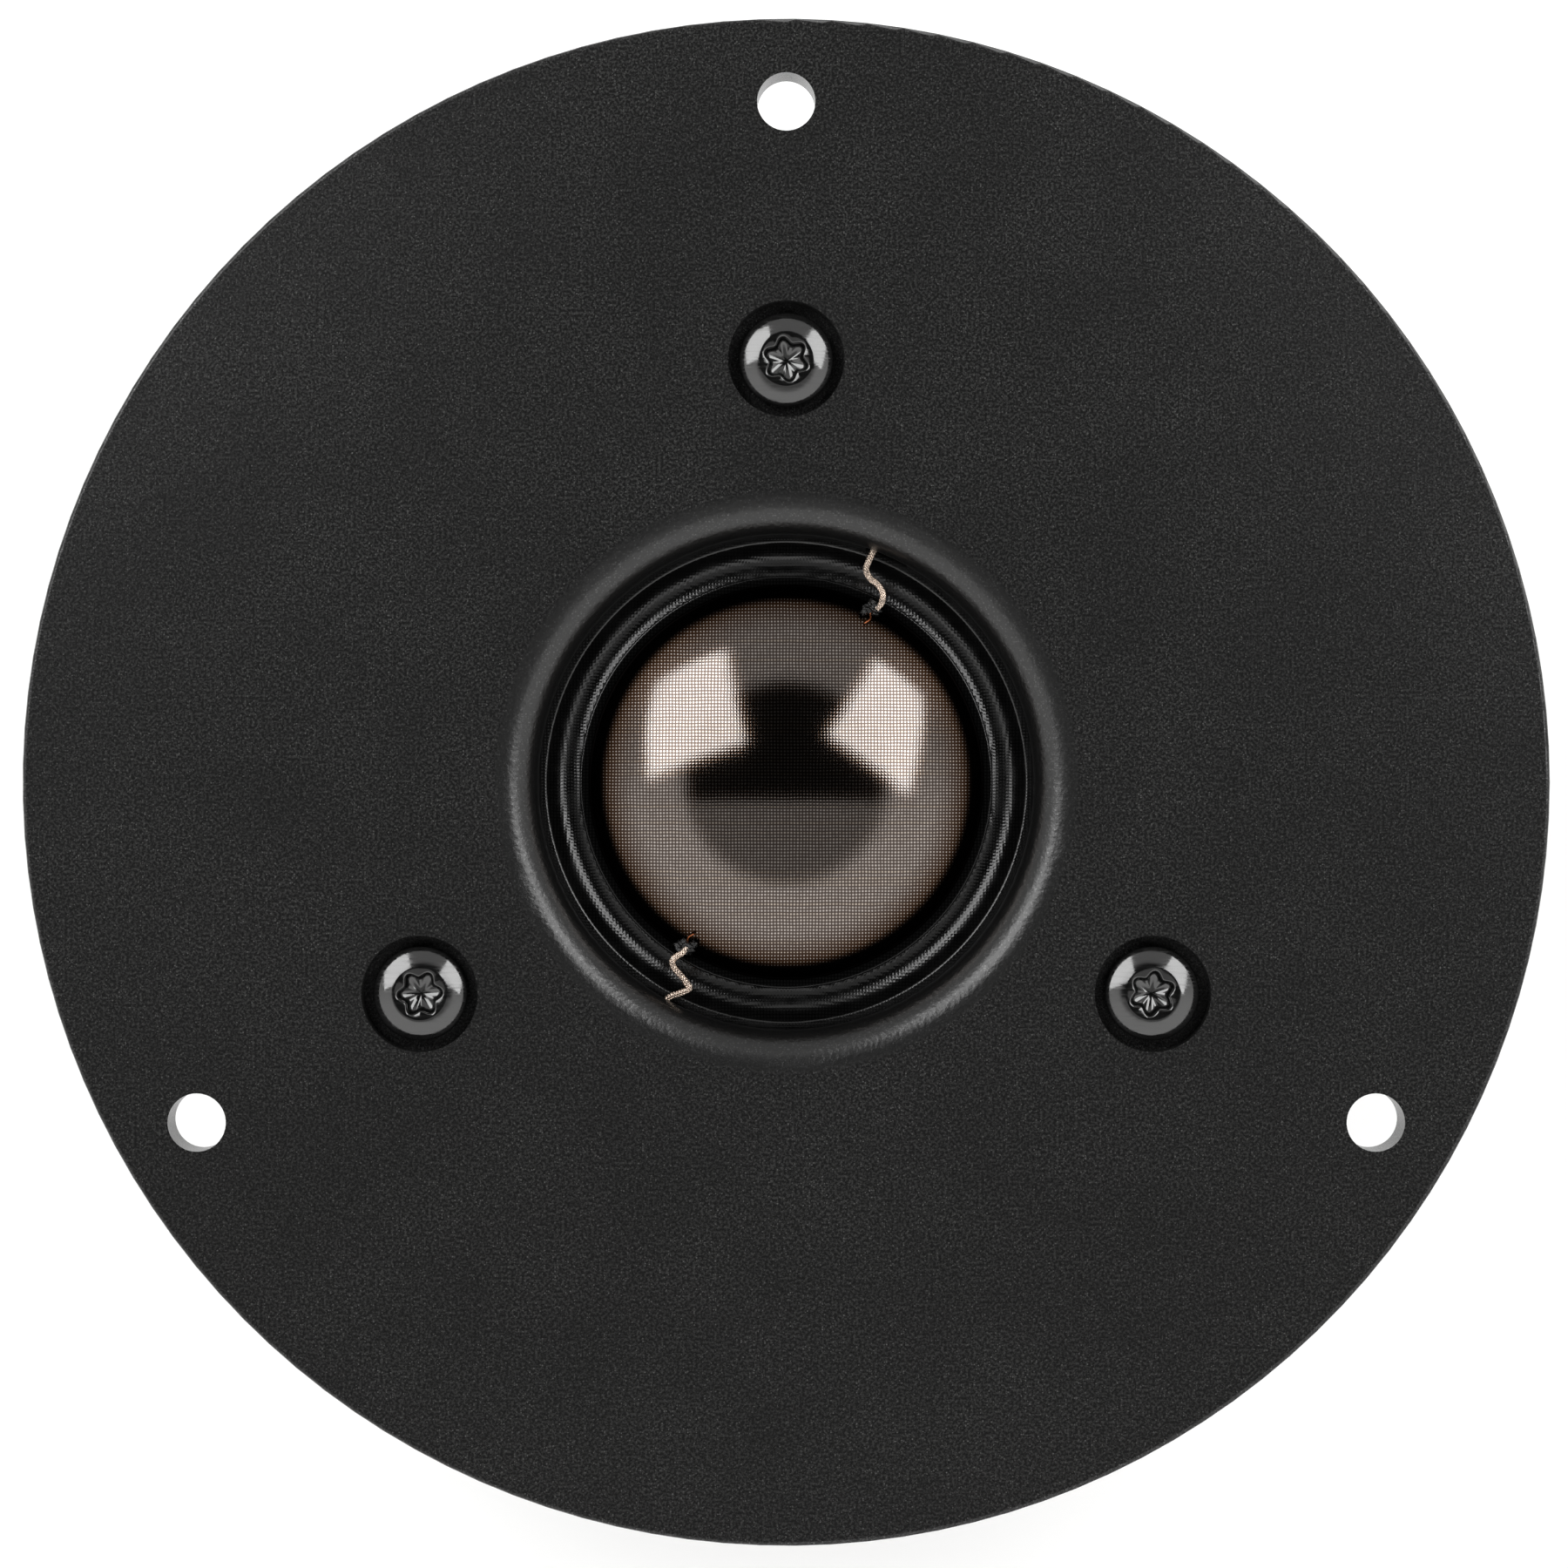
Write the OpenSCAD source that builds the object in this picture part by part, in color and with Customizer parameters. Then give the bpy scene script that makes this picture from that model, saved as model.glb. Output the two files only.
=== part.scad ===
// Soft-dome tweeter with a round screw-down flange.
// The origin is at the centre of the flange's rear face, the one that seats on a panel.
// +Z points along the axis toward the listener; the motor hangs below z = 0.

/* [Faceplate] */
// Outer diameter of the flange
plate_d = 110; // [104:1:132]
// Thickness of the flange
plate_t = 5; // [4.6:0.1:6]
// Radius of the rounding round the front edge
plate_edge_r = 0.3; // [0.3:0.1:1.2]
// Distance from the rim to the circle of the three mounting holes
mount_inset = 6; // [5:0.1:7]
// Diameter of the mounting holes
mount_hole_d = 4.2; // [3.6:0.1:5]
// Diameter of the counterbores for the motor screws
counterbore_d = 8.4; // [8:0.1:9]
// Depth of those counterbores
counterbore_depth = 2.9; // [2.6:0.1:3.4]
// Radius of the rounded lip of the well
lip_r = 2.65; // [2:0.05:3.2]
// Height of the hub behind the flange
hub_h = 2.5; // [2.3:0.1:3.2]

/* [Diaphragm] */
// Radius of the sphere that the dome is cut from
dome_sphere_r = 25; // [18:0.5:30]
// Radius of the dome where it meets its foot, which sizes the coil and the motor too
dome_base_r = 14.3; // [12:0.1:17.2]
// Thickness of the coated dome cloth
dome_t = 0.25; // [0.2:0.05:0.35]
// Radius of the floor of the surround's sunken roll
roll_r = 1.8; // [1.4:0.05:2.2]
// Depth of the floor of the roll below its seat
roll_depth = 1.18; // [1:0.02:1.3]
// Thickness of the roll's cloth
roll_t = 0.25; // [0.2:0.05:0.3]
// Width of the surround's glued seat on the ring
ring_seat_w = 3.3; // [3.2:0.1:4.4]

/* [Voice coil] */
// Wall of the coil tube
former_t = 0.1; // [0.08:0.01:0.12]
// Height of the winding
winding_h = 3.2; // [2.4:0.1:3.9]
// Thickness of the winding
winding_t = 0.35; // [0.25:0.05:0.45]
// Air between the coil tube and the pole's cap
inner_clear = 0.33; // [0.25:0.01:0.4]
// Air between the winding and the front plate
outer_clear = 0.35; // [0.25:0.01:0.45]

/* [Motor] */
// How far the motor reaches outside the circle of its screws
motor_rim = 5.5; // [4.6:0.1:9]
// Thickness of the front plate
top_plate_t = 4; // [3.4:0.1:5]
// Thickness of the magnet
magnet_t = 15; // [10:1:20]
// Thickness of the back plate
back_plate_t = 5; // [5:0.5:8]
// Diameter of the vent through the pole
vent_d = 10; // [6:1:12]

/* [Rear chamber] */
// Height of the chamber
chamber_h = 20; // [16:1:30]
// Wall of the chamber
chamber_wall = 2; // [1.6:0.1:2.4]

/* [Terminals] */
// Width of the positive tab
tab_wide = 4.8; // [4, 4.8, 5.8]
// Width of the negative tab
tab_narrow = 2.8; // [2.8, 3.4]
// Length of a tab below the block
tab_l = 9.5; // [7:0.5:11.5]

/* [Hidden] */
$fn = 96;
sides = 3;                       // mounting holes, motor screws and chamber screws are all in threes
first_hole = 90;                 // angle of the first of each three
skin = 0.02;                     // gap left between glued or seated round faces

// Levels along the axis
gasket_t = 0.5;
motor_z = -hub_h - gasket_t;                     // front of the motor
magnet_z = motor_z - top_plate_t;                // front of the magnet
gap_mid_z = motor_z - top_plate_t / 2;           // middle of the magnetic gap
back_z = magnet_z - magnet_t;                    // front of the back plate
rear_z = back_z - back_plate_t;                  // rear of the back plate
chamber_gasket_t = 0.8;
chamber_z = rear_z - chamber_gasket_t;           // open rim of the chamber
base_z = chamber_z - chamber_h;                  // the face that the part stands on
ring_top_z = 0.9;                                // seat of the surround on its ring
ledge_z = -0.8;                                  // lower ledge of the ring, for the lugs
dome_foot_z = ring_top_z;
dome_seat_z = dome_foot_z + dome_t;
roll_foot_z = dome_seat_z + skin;
roof_z = roll_foot_z + 0.03;                     // underside of the flange above the ring
dome_centre_z = dome_seat_z - sqrt(pow(dome_sphere_r, 2) - pow(dome_base_r, 2));
former_top_z = dome_foot_z - skin;
former_end_z = gap_mid_z - winding_h / 2 - 0.4;

// Radii, from the coil outward
former_r = dome_base_r + 0.1;                    // inside of the coil tube
winding_r = former_r + former_t;
plate_bore_r = winding_r + winding_t + outer_clear;
roll_lean = 50;                                  // slope of the roll's outer wall
roll_in_lean = 26;                               // slope of the floor at the upright inner wall
roll_in_r = dome_base_r + 0.6;                   // inner wall of the roll, past the glued foot
roll_mid_r = roll_in_r + roll_r * sin(roll_in_lean);
roll_wall_w = (roll_depth - roll_r * (1 - cos(roll_lean))) / tan(roll_lean);
roll_out_r = roll_mid_r + roll_r * sin(roll_lean) + roll_wall_w;
ring_in_r = roll_out_r + 0.16;
ring_step_r = ring_in_r + ring_seat_w;
lug_ledge_w = 4.8;
ring_out_r = ring_step_r + lug_ledge_w;
wire_channel_w = 2.1;
pocket_r = ring_out_r + wire_channel_w;          // pocket behind the flange for the ring
well_r = roll_out_r + 0.46;

// Radii, from the coil inward
cap_t = 0.35;
cap_skirt = 6;
pole_r = former_r - inner_clear - cap_t - skin;
vent_r = vent_d / 2;
damper_r = [vent_r + 1.2, pole_r - 1.5];
damper_h = 2;
damper_edge = 0.8;

// Flange screws
screw_r = 1.73;
screw_hole_r = 1.85;
screw_head_r = 3.4;
screw_head_h = 2.4;
screw_seat_z = plate_t - counterbore_depth;
screw_l = screw_seat_z - magnet_z - 0.4;
screw_wall = 0.75;                               // flange left between the pocket and a screw
screw_circle_r = pocket_r + screw_wall + screw_hole_r;
screw_turns = [10, 34, 52];                      // how far each screw happened to be turned
lobe_r = 1.63;                                   // half the width across the recess's lobes
lobe_root_r = 1.17;
lobe_gap_r = 0.42;
lobe_depth = 1.5;

// Motor
motor_r = screw_circle_r + motor_rim;
motor_edge = 0.8;
magnet_in_r = winding_r + winding_t + 1.15;
back_plate_r = motor_r - 1.5;
pin_r = 1;
pin_circle_r = ring_step_r + 2.6;
pin_depth = 2.6;

// Flange
plate_r = plate_d / 2;
mount_circle_r = plate_r - mount_inset;
seal_w = 3;
seal_t = 1;
seal_out_r = mount_circle_r - mount_hole_d / 2 - 1.9;
lead_slot_w = 3.2;
lead_slot_h = 0.95;
lead_slot_r = ring_step_r + 3.4;
wire_slot_w = 5.4;
wire_slot_top = -0.6;

// Rear chamber
chamber_r = motor_r - 3;
chamber_edge = 1.5;
chamber_floor = 2.5;
post_r = 4.6;
post_bore_r = 3.3;
post_drop = 0.3;                                 // how far the posts stay below the rim
post_circle_r = chamber_r - 6;
post_ledge = 6.2;                                // how far the screw ledge lies behind the rim
chamber_screw_r = 1.48;
chamber_screw_l = 10.4;
back_tap_depth = chamber_screw_l - post_ledge - chamber_gasket_t + 0.5;
wool_edge = 2;

// Terminals
block_w = 24;
block_back = motor_r + 0.1;
block_t = 4;
block_z = [gap_mid_z - 2.8, gap_mid_z + 1.8];
tab_x = 4.5;
tab_t = 0.8;
tab_y = -motor_r - 2.4;
tab_top_z = gap_mid_z + 2.8;
tab_hole_r = 0.8;
tab_low_z = block_z[0] - tab_l;
terminal_screw_x = 9.6;
terminal_screw_r = 1.2;
terminal_screw_l = 8.6;

// Lugs, rivets and solder
lug_side = [-2.6, 1.6];
lug_t = 0.4;
lug_z = ledge_z + lug_t;
contact_rivet_r = 0.5;
contact_rivet_l = 1.4;
contact_rivet_head_r = 0.85;
contact_rivet_place = [ring_step_r + 2.4, -1.6, 0];
solder_r = 1;
solder_out = ring_step_r + 3.25;                 // how far from the axis the lug solder lies
tinsel_start = ring_step_r + 2.2;                // where the braided leads meet that solder
glue_r = 0.5;
glue_place = [dome_base_r - 0.2, -0.65, dome_seat_z + 0.61];

// Leads
lead_angles = [66, 241];                         // where the leads cross the surround
tinsel_r = 0.26;
wire_r = 0.5;
tail_r = 0.09;
tail_hole_r = 0.13;
tail_side = -0.65;
tail_out = winding_r + tail_r + 0.03;            // just outside the coil tube
channel_r = (ring_out_r + pocket_r) / 2;
channel_z = motor_z + 0.9;

// Turns what follows into one of three, evenly round the axis, at a given radius.
module in_threes(r) {
    for (i = [0:sides - 1]) rotate(first_hole + i * 360 / sides) translate([r, 0, 0]) children();
}

// A flat ring between two radii and two heights.
module ring(r_in, r_out, z_low, z_high) {
    rotate_extrude() translate([r_in, z_low]) square([r_out - r_in, z_high - z_low]);
}

// A cylinder between two heights.
module rod(r, z_low, z_high) {
    translate([0, 0, z_low]) cylinder(r = r, h = z_high - z_low);
}

// Place on a circle: radius, angle and height to x, y, z.
function polar(r, a, z) = [r * cos(a), r * sin(a), z];

// Place beside a radial line at an angle: outward, sideways and height to x, y, z.
function beside(a, p) = [
    p[0] * cos(a) - p[1] * sin(a),
    p[0] * sin(a) + p[1] * cos(a),
    p[2]];

// One Catmull-Rom point between q and r.
function between(p, q, r, s, t) =
    0.5 * (2 * q + (r - p) * t + (2 * p - 5 * q + 4 * r - s) * t * t
    + (3 * q - p - 3 * r + s) * t * t * t);

// A smooth line through a list of points, with n steps between two points.
function smooth(points, n) = [
    for (i = [0:len(points) - 2], k = [0:n - 1])
        between(points[max(i - 1, 0)], points[i], points[i + 1],
            points[min(i + 2, len(points) - 1)], k / n),
    points[len(points) - 1]];

function unit(v) = v / norm(v);
function heading(line, i) = unit(line[min(i + 1, len(line) - 1)] - line[max(i - 1, 0)]);

// A frame carried along the line without twisting, as the sideways axis at each point.
function sideways(line, i = 0, was = [0, 0, 1]) =
    let (h = heading(line, i), v = unit(was - h * (was * h)))
    i == len(line) - 1 ? [v] : concat([v], sideways(line, i + 1, v));

// A round tube along a line of points.
module tube(line, r, faces = 8) {
    across = sideways(line, 0, unit(cross(heading(line, 0), [0.3, 0.5, 0.8])));
    rings = len(line);
    skin_points = [for (i = [0:rings - 1], k = [0:faces - 1])
        let (u = across[i], v = cross(heading(line, i), u), a = 360 * k / faces)
            line[i] + r * (cos(a) * u + sin(a) * v)];
    walls = [for (i = [0:rings - 2], k = [0:faces - 1])
        let (a = i * faces + k, b = i * faces + (k + 1) % faces)
            [a, a + faces, b + faces, b]];
    ends = [[for (k = [0:faces - 1]) k],
        [for (k = [faces - 1:-1:0]) (rings - 1) * faces + k]];
    polyhedron(skin_points, concat(walls, ends));
}

// Flange with its hub, lip, holes, counterbores and rear pocket, cast in one piece
module faceplate() {
    color("#2b2a29") difference() {
        rotate_extrude() difference() {
            union() {
                translate([well_r + lip_r, 0])
                    square([plate_r - plate_edge_r - well_r - lip_r, plate_t]);
                translate([well_r, roof_z]) square([lip_r, plate_t - lip_r - roof_z]);
                translate([well_r + lip_r, plate_t - lip_r]) circle(lip_r);
                translate([plate_r - plate_edge_r, 0]) square([plate_edge_r, plate_t - plate_edge_r]);
                translate([plate_r - plate_edge_r, plate_t - plate_edge_r]) circle(plate_edge_r);
                translate([pocket_r, -hub_h]) square([motor_r - pocket_r, hub_h + 1]);
            }
            translate([0, -hub_h]) square([pocket_r, hub_h + roof_z]);
        }
        in_threes(mount_circle_r) rod(mount_hole_d / 2, -1, plate_t + 1);
        in_threes(screw_circle_r) {
            rod(counterbore_d / 2, screw_seat_z, plate_t + 1);
            rod(screw_hole_r, -hub_h - 1, plate_t);
        }
        ring(seal_out_r - seal_w - skin, seal_out_r + skin, -1, seal_t);
        for (a = lead_angles) rotate(a)
            translate([well_r - 1, -lead_slot_w / 2, roof_z - 1])
                cube([lead_slot_r - well_r + 1, lead_slot_w, lead_slot_h + 1]);
        translate([-wire_slot_w / 2, -motor_r - 1, -hub_h - 1])
            cube([wire_slot_w, motor_r - pocket_r + 2, wire_slot_top + hub_h + 1]);
    }
}

// A six-lobe recess, as a prism to cut from a screw head
module six_lobes(depth) {
    linear_extrude(depth + 1) difference() {
        circle(lobe_r);
        for (i = [0:5]) rotate(60 * i + 30) translate([lobe_root_r + lobe_gap_r, 0]) circle(lobe_gap_r);
    }
}

// A pan head with a rounded top edge; its seat is at z = 0 and its shank hangs below
module pan_screw(head_r, head_h, shank_r, shank_l, recess_depth, recess_scale = 1) {
    round_r = head_h * 0.55;
    difference() {
        union() {
            rotate_extrude() {
                square([head_r - round_r, head_h]);
                square([head_r, head_h - round_r]);
                translate([head_r - round_r, head_h - round_r]) intersection() {
                    circle(round_r);
                    square(round_r);
                }
            }
            rod(shank_r, -shank_l, 0.5);
        }
        translate([0, 0, head_h - recess_depth]) scale(recess_scale) six_lobes(recess_depth + 1);
    }
}

// Three screws through the flange into the front plate
module faceplate_screws() {
    color("#161616") for (i = [0:sides - 1])
        rotate(first_hole + i * 360 / sides) translate([screw_circle_r, 0, screw_seat_z])
            rotate(screw_turns[i]) pan_screw(screw_head_r, screw_head_h, screw_r, screw_l, lobe_depth);
}

// Foam strip in the groove on the flange's rear face
module flange_seal() {
    color("#3a3a3a") ring(seal_out_r - seal_w, seal_out_r, 0, seal_t - skin);
}

// Paper gasket between the hub and the motor
module motor_gasket() {
    color("#6b5a45") difference() {
        ring(pocket_r, motor_r - 0.4, motor_z, motor_z + gasket_t);
        in_threes(screw_circle_r) rod(screw_hole_r, motor_z - 1, motor_z + 2);
    }
}

// Moulded ring that carries the surround and the lugs
module diaphragm_ring() {
    color("#1c1c1c") difference() {
        union() {
            ring(ring_in_r, ring_step_r, motor_z, ring_top_z);
            ring(ring_step_r - 0.5, ring_out_r, motor_z, ledge_z);
        }
        for (a = [0, 180]) rotate(a) translate([pin_circle_r, 0, 0])
            rod(pin_r + skin, motor_z - 1, ledge_z + 1);
        for (a = lead_angles) rotate(a) {
            translate(contact_rivet_place)
                rod(contact_rivet_r + skin, ledge_z - contact_rivet_l - skin, ledge_z + 1);
            translate([ring_step_r - 0.9, -lead_slot_w / 2, ledge_z]) cube([2, lead_slot_w, 3]);
        }
    }
}

// Two pins that centre the ring on the front plate
module locating_pins() {
    color("#b8b8b8") for (a = [0, 180]) rotate(a) translate([pin_circle_r, 0, 0])
        rod(pin_r, motor_z - pin_depth, ledge_z + 0.3);
}

// The small holes that let the coil ends up through the glued feet
module tail_holes(top) {
    for (a = lead_angles) rotate(a) translate([tail_out, tail_side, 0]) rod(tail_hole_r, 0, top);
}

// A strip of even thickness along a line of points
function strip(line, t) = let (
    n = len(line) - 1,
    edge = [for (i = [0:n]) let (h = heading(line, i)) [-h[1], h[0]] * t / 2])
    concat([for (i = [0:n]) line[i] + edge[i]], [for (i = [n:-1:0]) line[i] - edge[i]]);

// Surround in coated cloth, in one strip: an inner foot, an upright wall, a round sunk floor,
// a wall that leans outward to a shoulder, and the seat on the ring
module surround() {
    inner_foot_z = roll_foot_z + roll_t / 2;
    seat_z = ring_top_z + roll_t / 2;
    floor_z = seat_z - roll_depth;
    line = concat(
        [[dome_base_r + 0.05, inner_foot_z], [roll_in_r, inner_foot_z]],
        [[roll_in_r, floor_z + 0.6 * roll_depth]],
        [for (a = [-roll_in_lean:4:roll_lean])
            [roll_mid_r + roll_r * sin(a), floor_z + roll_r * (1 - cos(a))]],
        [[roll_out_r, seat_z], [ring_step_r - 1, seat_z]]);
    color("#0d0d0d") difference() {
        rotate_extrude() polygon(strip(line, roll_t));
        tail_holes(roll_foot_z + roll_t + 0.1);
    }
}

// The braided leads start at the solder of a lug, pass under the lip and end at the dome's rim.
// Each place is outward from the axis, sideways and height.
upper_route = [[tinsel_start, 0.3, -0.08], [22.3, 0.5, -0.05], [21.4, 0.8, 0.5], [20.6, 0.95, 1.35],
    [19.6, 1, 1.6], [17.8, 1.04, 1.7], [17, 1.05, 1.95], [16.4, 0.95, 2.2], [15.95, 0.4, 2.3],
    [15.8, -0.2, 2.3], [15.4, -0.8, 2.25], [14.9, -1, 2.15], [14.5, -1, 2.05], [14, -0.8, 1.95]];
lower_route = [[tinsel_start, -0.3, -0.08], [22.3, -0.4, -0.05], [21.4, -0.4, 0.5],
    [20.6, -0.3, 1.35], [19.6, -0.1, 1.6], [17.9, 0.1, 1.7], [17.1, 0.7, 1.95], [16.5, 1.1, 2.2],
    [16.2, 0.7, 2.3], [15.95, 0.1, 2.3], [15.7, -0.6, 2.3], [15.3, -0.95, 2.25],
    [14.85, -0.8, 2.15], [14.5, -0.6, 2.05], [14, -0.5, 1.95]];

module tinsel_lead_upper() {
    color("#b08d6a") tube(smooth([for (p = upper_route) beside(lead_angles[0], p)], 4), tinsel_r);
}

module tinsel_lead_lower() {
    color("#b08d6a") tube(smooth([for (p = lower_route) beside(lead_angles[1], p)], 4), tinsel_r);
}

// Fine coil ends: up the outside of the tube, through the glued feet and over the dome's rim
function on_dome(out, side) = [out, side,
    dome_centre_z + sqrt(pow(dome_sphere_r, 2) - out * out - side * side) + 2.5 * tail_r];
tail_route = [for (z = [motor_z - 0.35, -1, dome_seat_z + 0.15]) [tail_out, tail_side, z],
    [tail_out - 0.07, tail_side, dome_seat_z + 0.45], [dome_base_r - 0.1, tail_side, dome_seat_z + 0.7],
    for (p = [[0.6, -0.6], [1, -0.75], [1.45, -0.5]]) on_dome(dome_base_r - p[0], p[1])];

module coil_tails() {
    color("#a4552a") for (a = lead_angles)
        tube(smooth([for (p = tail_route) beside(a, p)], 4), tail_r, 6);
}

// Dabs of glue that hold the inner ends on the dome's rim, flat where they meet the surround
module lead_glue_dots() {
    color("#101010") for (a = lead_angles) rotate(a) intersection() {
        translate(glue_place) sphere(glue_r);
        translate([glue_place[0] - 1, glue_place[1] - 1, roll_foot_z + roll_t + skin]) cube(2);
    }
}

// Two brass lugs on the ring's ledge
module ring_contacts() {
    color("#c9a24a") for (a = lead_angles) rotate(a) difference() {
        translate([ring_step_r + 0.3, lug_side[0], ledge_z])
            cube([lug_ledge_w - 0.9, lug_side[1] - lug_side[0], lug_t]);
        translate(contact_rivet_place) rod(contact_rivet_r + skin, ledge_z - 1, ledge_z + 1);
    }
}

// A rivet through each lug
module contact_rivets() {
    color("#d8c27a") for (a = lead_angles) rotate(a) translate(contact_rivet_place) {
        rod(contact_rivet_r, ledge_z - contact_rivet_l, lug_z);
        rod(contact_rivet_head_r, lug_z, lug_z + 0.3);
    }
}

// Solder on the two lugs, open toward the braided leads, and on the tops of the two tabs
module solder_joints() {
    color("#c4c6c8") {
        for (a = lead_angles) rotate(a) intersection() {
            translate([solder_out, 0, lug_z]) sphere(solder_r);
            translate([tinsel_start + 0.04, -2, lug_z]) cube([4, 4, 4]);
        }
        for (x = [-tab_x, tab_x]) translate([x, tab_y, tab_top_z + 0.45]) sphere(solder_r);
    }
}

// An insulated wire from a lug down into the channel round the ring, out at the hub's slot
// and across to a tab; side is 1 for the positive wire and -1 for the negative one.
function lead_route(a, bends, side) = concat(
    [for (p = [[solder_out, 0.15], [ring_out_r - 0.3, 0.25], [ring_out_r + 0.7, -0.35]])
        beside(a, [p[0], 0, p[1]])],
    [polar(channel_r, a - side * 3, -1.3)],
    [for (b = bends) polar(channel_r, b, channel_z)],
    [for (p = [[2.3, pocket_r - 0.4, -1.9], [1.4, pocket_r + 1.7, -1.65], [1.4, motor_r - 3, -1.6],
        [1.6, motor_r, -1.6], [2.8, motor_r + 1.4, -1.6], [tab_x - 0.2, -tab_y - 0.2, -1.65]])
        [side * p[0], -p[1], p[2]]]);
positive_bends = [for (b = [58:-12:-74]) b, -79];
negative_bends = [249, 255, 259];

module lead_wire_positive() {
    color("#8d1f1c") tube(smooth(lead_route(lead_angles[0], positive_bends, 1), 3), wire_r);
}

module lead_wire_negative() {
    color("#17181a") tube(smooth(lead_route(lead_angles[1], negative_bends, -1), 3), wire_r);
}

// Moulded block on the side of the motor, with a slot for each tab
module terminal_block() {
    color("#1b1b1b") difference() {
        translate([-block_w / 2, -block_back - block_t, block_z[0]])
            cube([block_w, block_t + 2.2, block_z[1] - block_z[0]]);
        rod(block_back, block_z[0] - 1, block_z[1] + 1);
        tab_blank(tab_x, tab_wide, skin);
        tab_blank(-tab_x, tab_narrow, skin);
        for (x = [-terminal_screw_x, terminal_screw_x]) translate([x, 0, gap_mid_z])
            rotate([90, 0, 0]) rod(terminal_screw_r + 0.15, motor_r - 5, block_back + block_t + 1);
    }
}

// The flat strip that a tab is cut from
module tab_blank(x, w, grow = 0) {
    translate([x - w / 2 - grow, tab_y - tab_t / 2 - grow, tab_low_z])
        cube([w + 2 * grow, tab_t + 2 * grow, tab_top_z - tab_low_z]);
}

// A push-on tab with bevelled corners and a latch hole
module terminal_tab(x, w) {
    color("#c9ccd0") difference() {
        tab_blank(x, w);
        translate([x, tab_y, tab_low_z + 4]) rotate([90, 0, 0])
            cylinder(r = tab_hole_r, h = 4, center = true);
        for (s = [-1, 1]) translate([x + s * w / 2, tab_y, tab_low_z]) rotate([0, 45, 0])
            cube([1, 4, 1], center = true);
    }
}

module terminal_tab_positive() { terminal_tab(tab_x, tab_wide); }

module terminal_tab_negative() { terminal_tab(-tab_x, tab_narrow); }

// Two screws that hold the block to the rim of the front plate
module terminal_screws() {
    color("#9c9ea1") for (x = [-terminal_screw_x, terminal_screw_x])
        translate([x, -block_back - block_t, gap_mid_z]) rotate([90, 0, 0])
            pan_screw(2.15, 1.5, terminal_screw_r, terminal_screw_l, 0.9, 0.72);
}

// Steel front plate of the motor, with the magnetic gap inside it
module top_plate() {
    color("#8e9094") difference() {
        ring(plate_bore_r, motor_r, magnet_z, motor_z);
        in_threes(screw_circle_r) rod(screw_r + skin, magnet_z - 1, motor_z + 1);
        for (a = [0, 180]) rotate(a) translate([pin_circle_r, 0, 0])
            rod(pin_r + skin, motor_z - pin_depth, motor_z + 1);
        for (x = [-terminal_screw_x, terminal_screw_x]) translate([x, 0, gap_mid_z]) rotate([90, 0, 0])
            rod(terminal_screw_r + skin, block_back + block_t - terminal_screw_l - 0.3, motor_r + 1);
    }
}

// Ferrite ring magnet with bevelled edges
module magnet() {
    color("#3c3d40") rotate_extrude() polygon([
        [magnet_in_r, back_z + motor_edge], [magnet_in_r + motor_edge, back_z],
        [motor_r - motor_edge, back_z], [motor_r, back_z + motor_edge],
        [motor_r, magnet_z - motor_edge], [motor_r - motor_edge, magnet_z],
        [magnet_in_r + motor_edge, magnet_z], [magnet_in_r, magnet_z - motor_edge]]);
}

// Back plate and vented pole, forged in one piece
module yoke() {
    bevel = 1.5;
    color("#8e9094") difference() {
        rotate_extrude() polygon([
            [vent_r, rear_z], [back_plate_r - bevel, rear_z], [back_plate_r, rear_z + bevel],
            [back_plate_r, back_z], [pole_r, back_z], [pole_r, motor_z],
            [vent_r + 1, motor_z], [vent_r, motor_z - 1]]);
        in_threes(post_circle_r) rod(chamber_screw_r + skin, rear_z - 1, rear_z + back_tap_depth);
    }
}

// Copper cap that shorts the pole's stray field
module copper_cap() {
    color("#b5683c") {
        ring(vent_r + 1, pole_r + skin + cap_t, motor_z, motor_z + cap_t);
        ring(pole_r + skin, pole_r + skin + cap_t, motor_z - cap_skirt, motor_z + cap_t);
    }
}

// Felt ring on the pole, under the dome
module pole_damper() {
    low = motor_z + cap_t;
    color("#8a7158") rotate_extrude() {
        translate([damper_r[0], low]) square([damper_r[1] - damper_r[0], damper_h - damper_edge]);
        translate([damper_r[0] + damper_edge, low])
            square([damper_r[1] - damper_r[0] - 2 * damper_edge, damper_h]);
        for (r = [damper_r[0] + damper_edge, damper_r[1] - damper_edge])
            translate([r, low + damper_h - damper_edge]) circle(damper_edge);
    }
}

// Foam ring between the back plate and the chamber
module chamber_gasket() {
    color("#2a2a2a") difference() {
        ring(post_circle_r - post_r, chamber_r - 0.3, chamber_z, rear_z);
        in_threes(post_circle_r) rod(chamber_screw_r + 0.2, chamber_z - 1, rear_z + 1);
    }
}

// Moulded cup that closes the rear, with three screw posts inside
module rear_chamber() {
    color("#1a1a1b") difference() {
        union() {
            rotate_extrude() difference() {
                union() {
                    translate([0, base_z]) square([chamber_r - chamber_edge, chamber_h]);
                    translate([0, base_z + chamber_edge]) square([chamber_r, chamber_h - chamber_edge]);
                    translate([chamber_r - chamber_edge, base_z + chamber_edge]) circle(chamber_edge);
                }
                translate([0, base_z + chamber_floor]) square([chamber_r - chamber_wall, chamber_h]);
            }
            in_threes(post_circle_r) rod(post_r, base_z + chamber_floor - 0.4, chamber_z - post_drop);
        }
        in_threes(post_circle_r) {
            rod(post_bore_r, base_z - 1, chamber_z - post_ledge);
            rod(chamber_screw_r + 0.15, base_z, chamber_z + 1);
        }
    }
}

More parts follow.
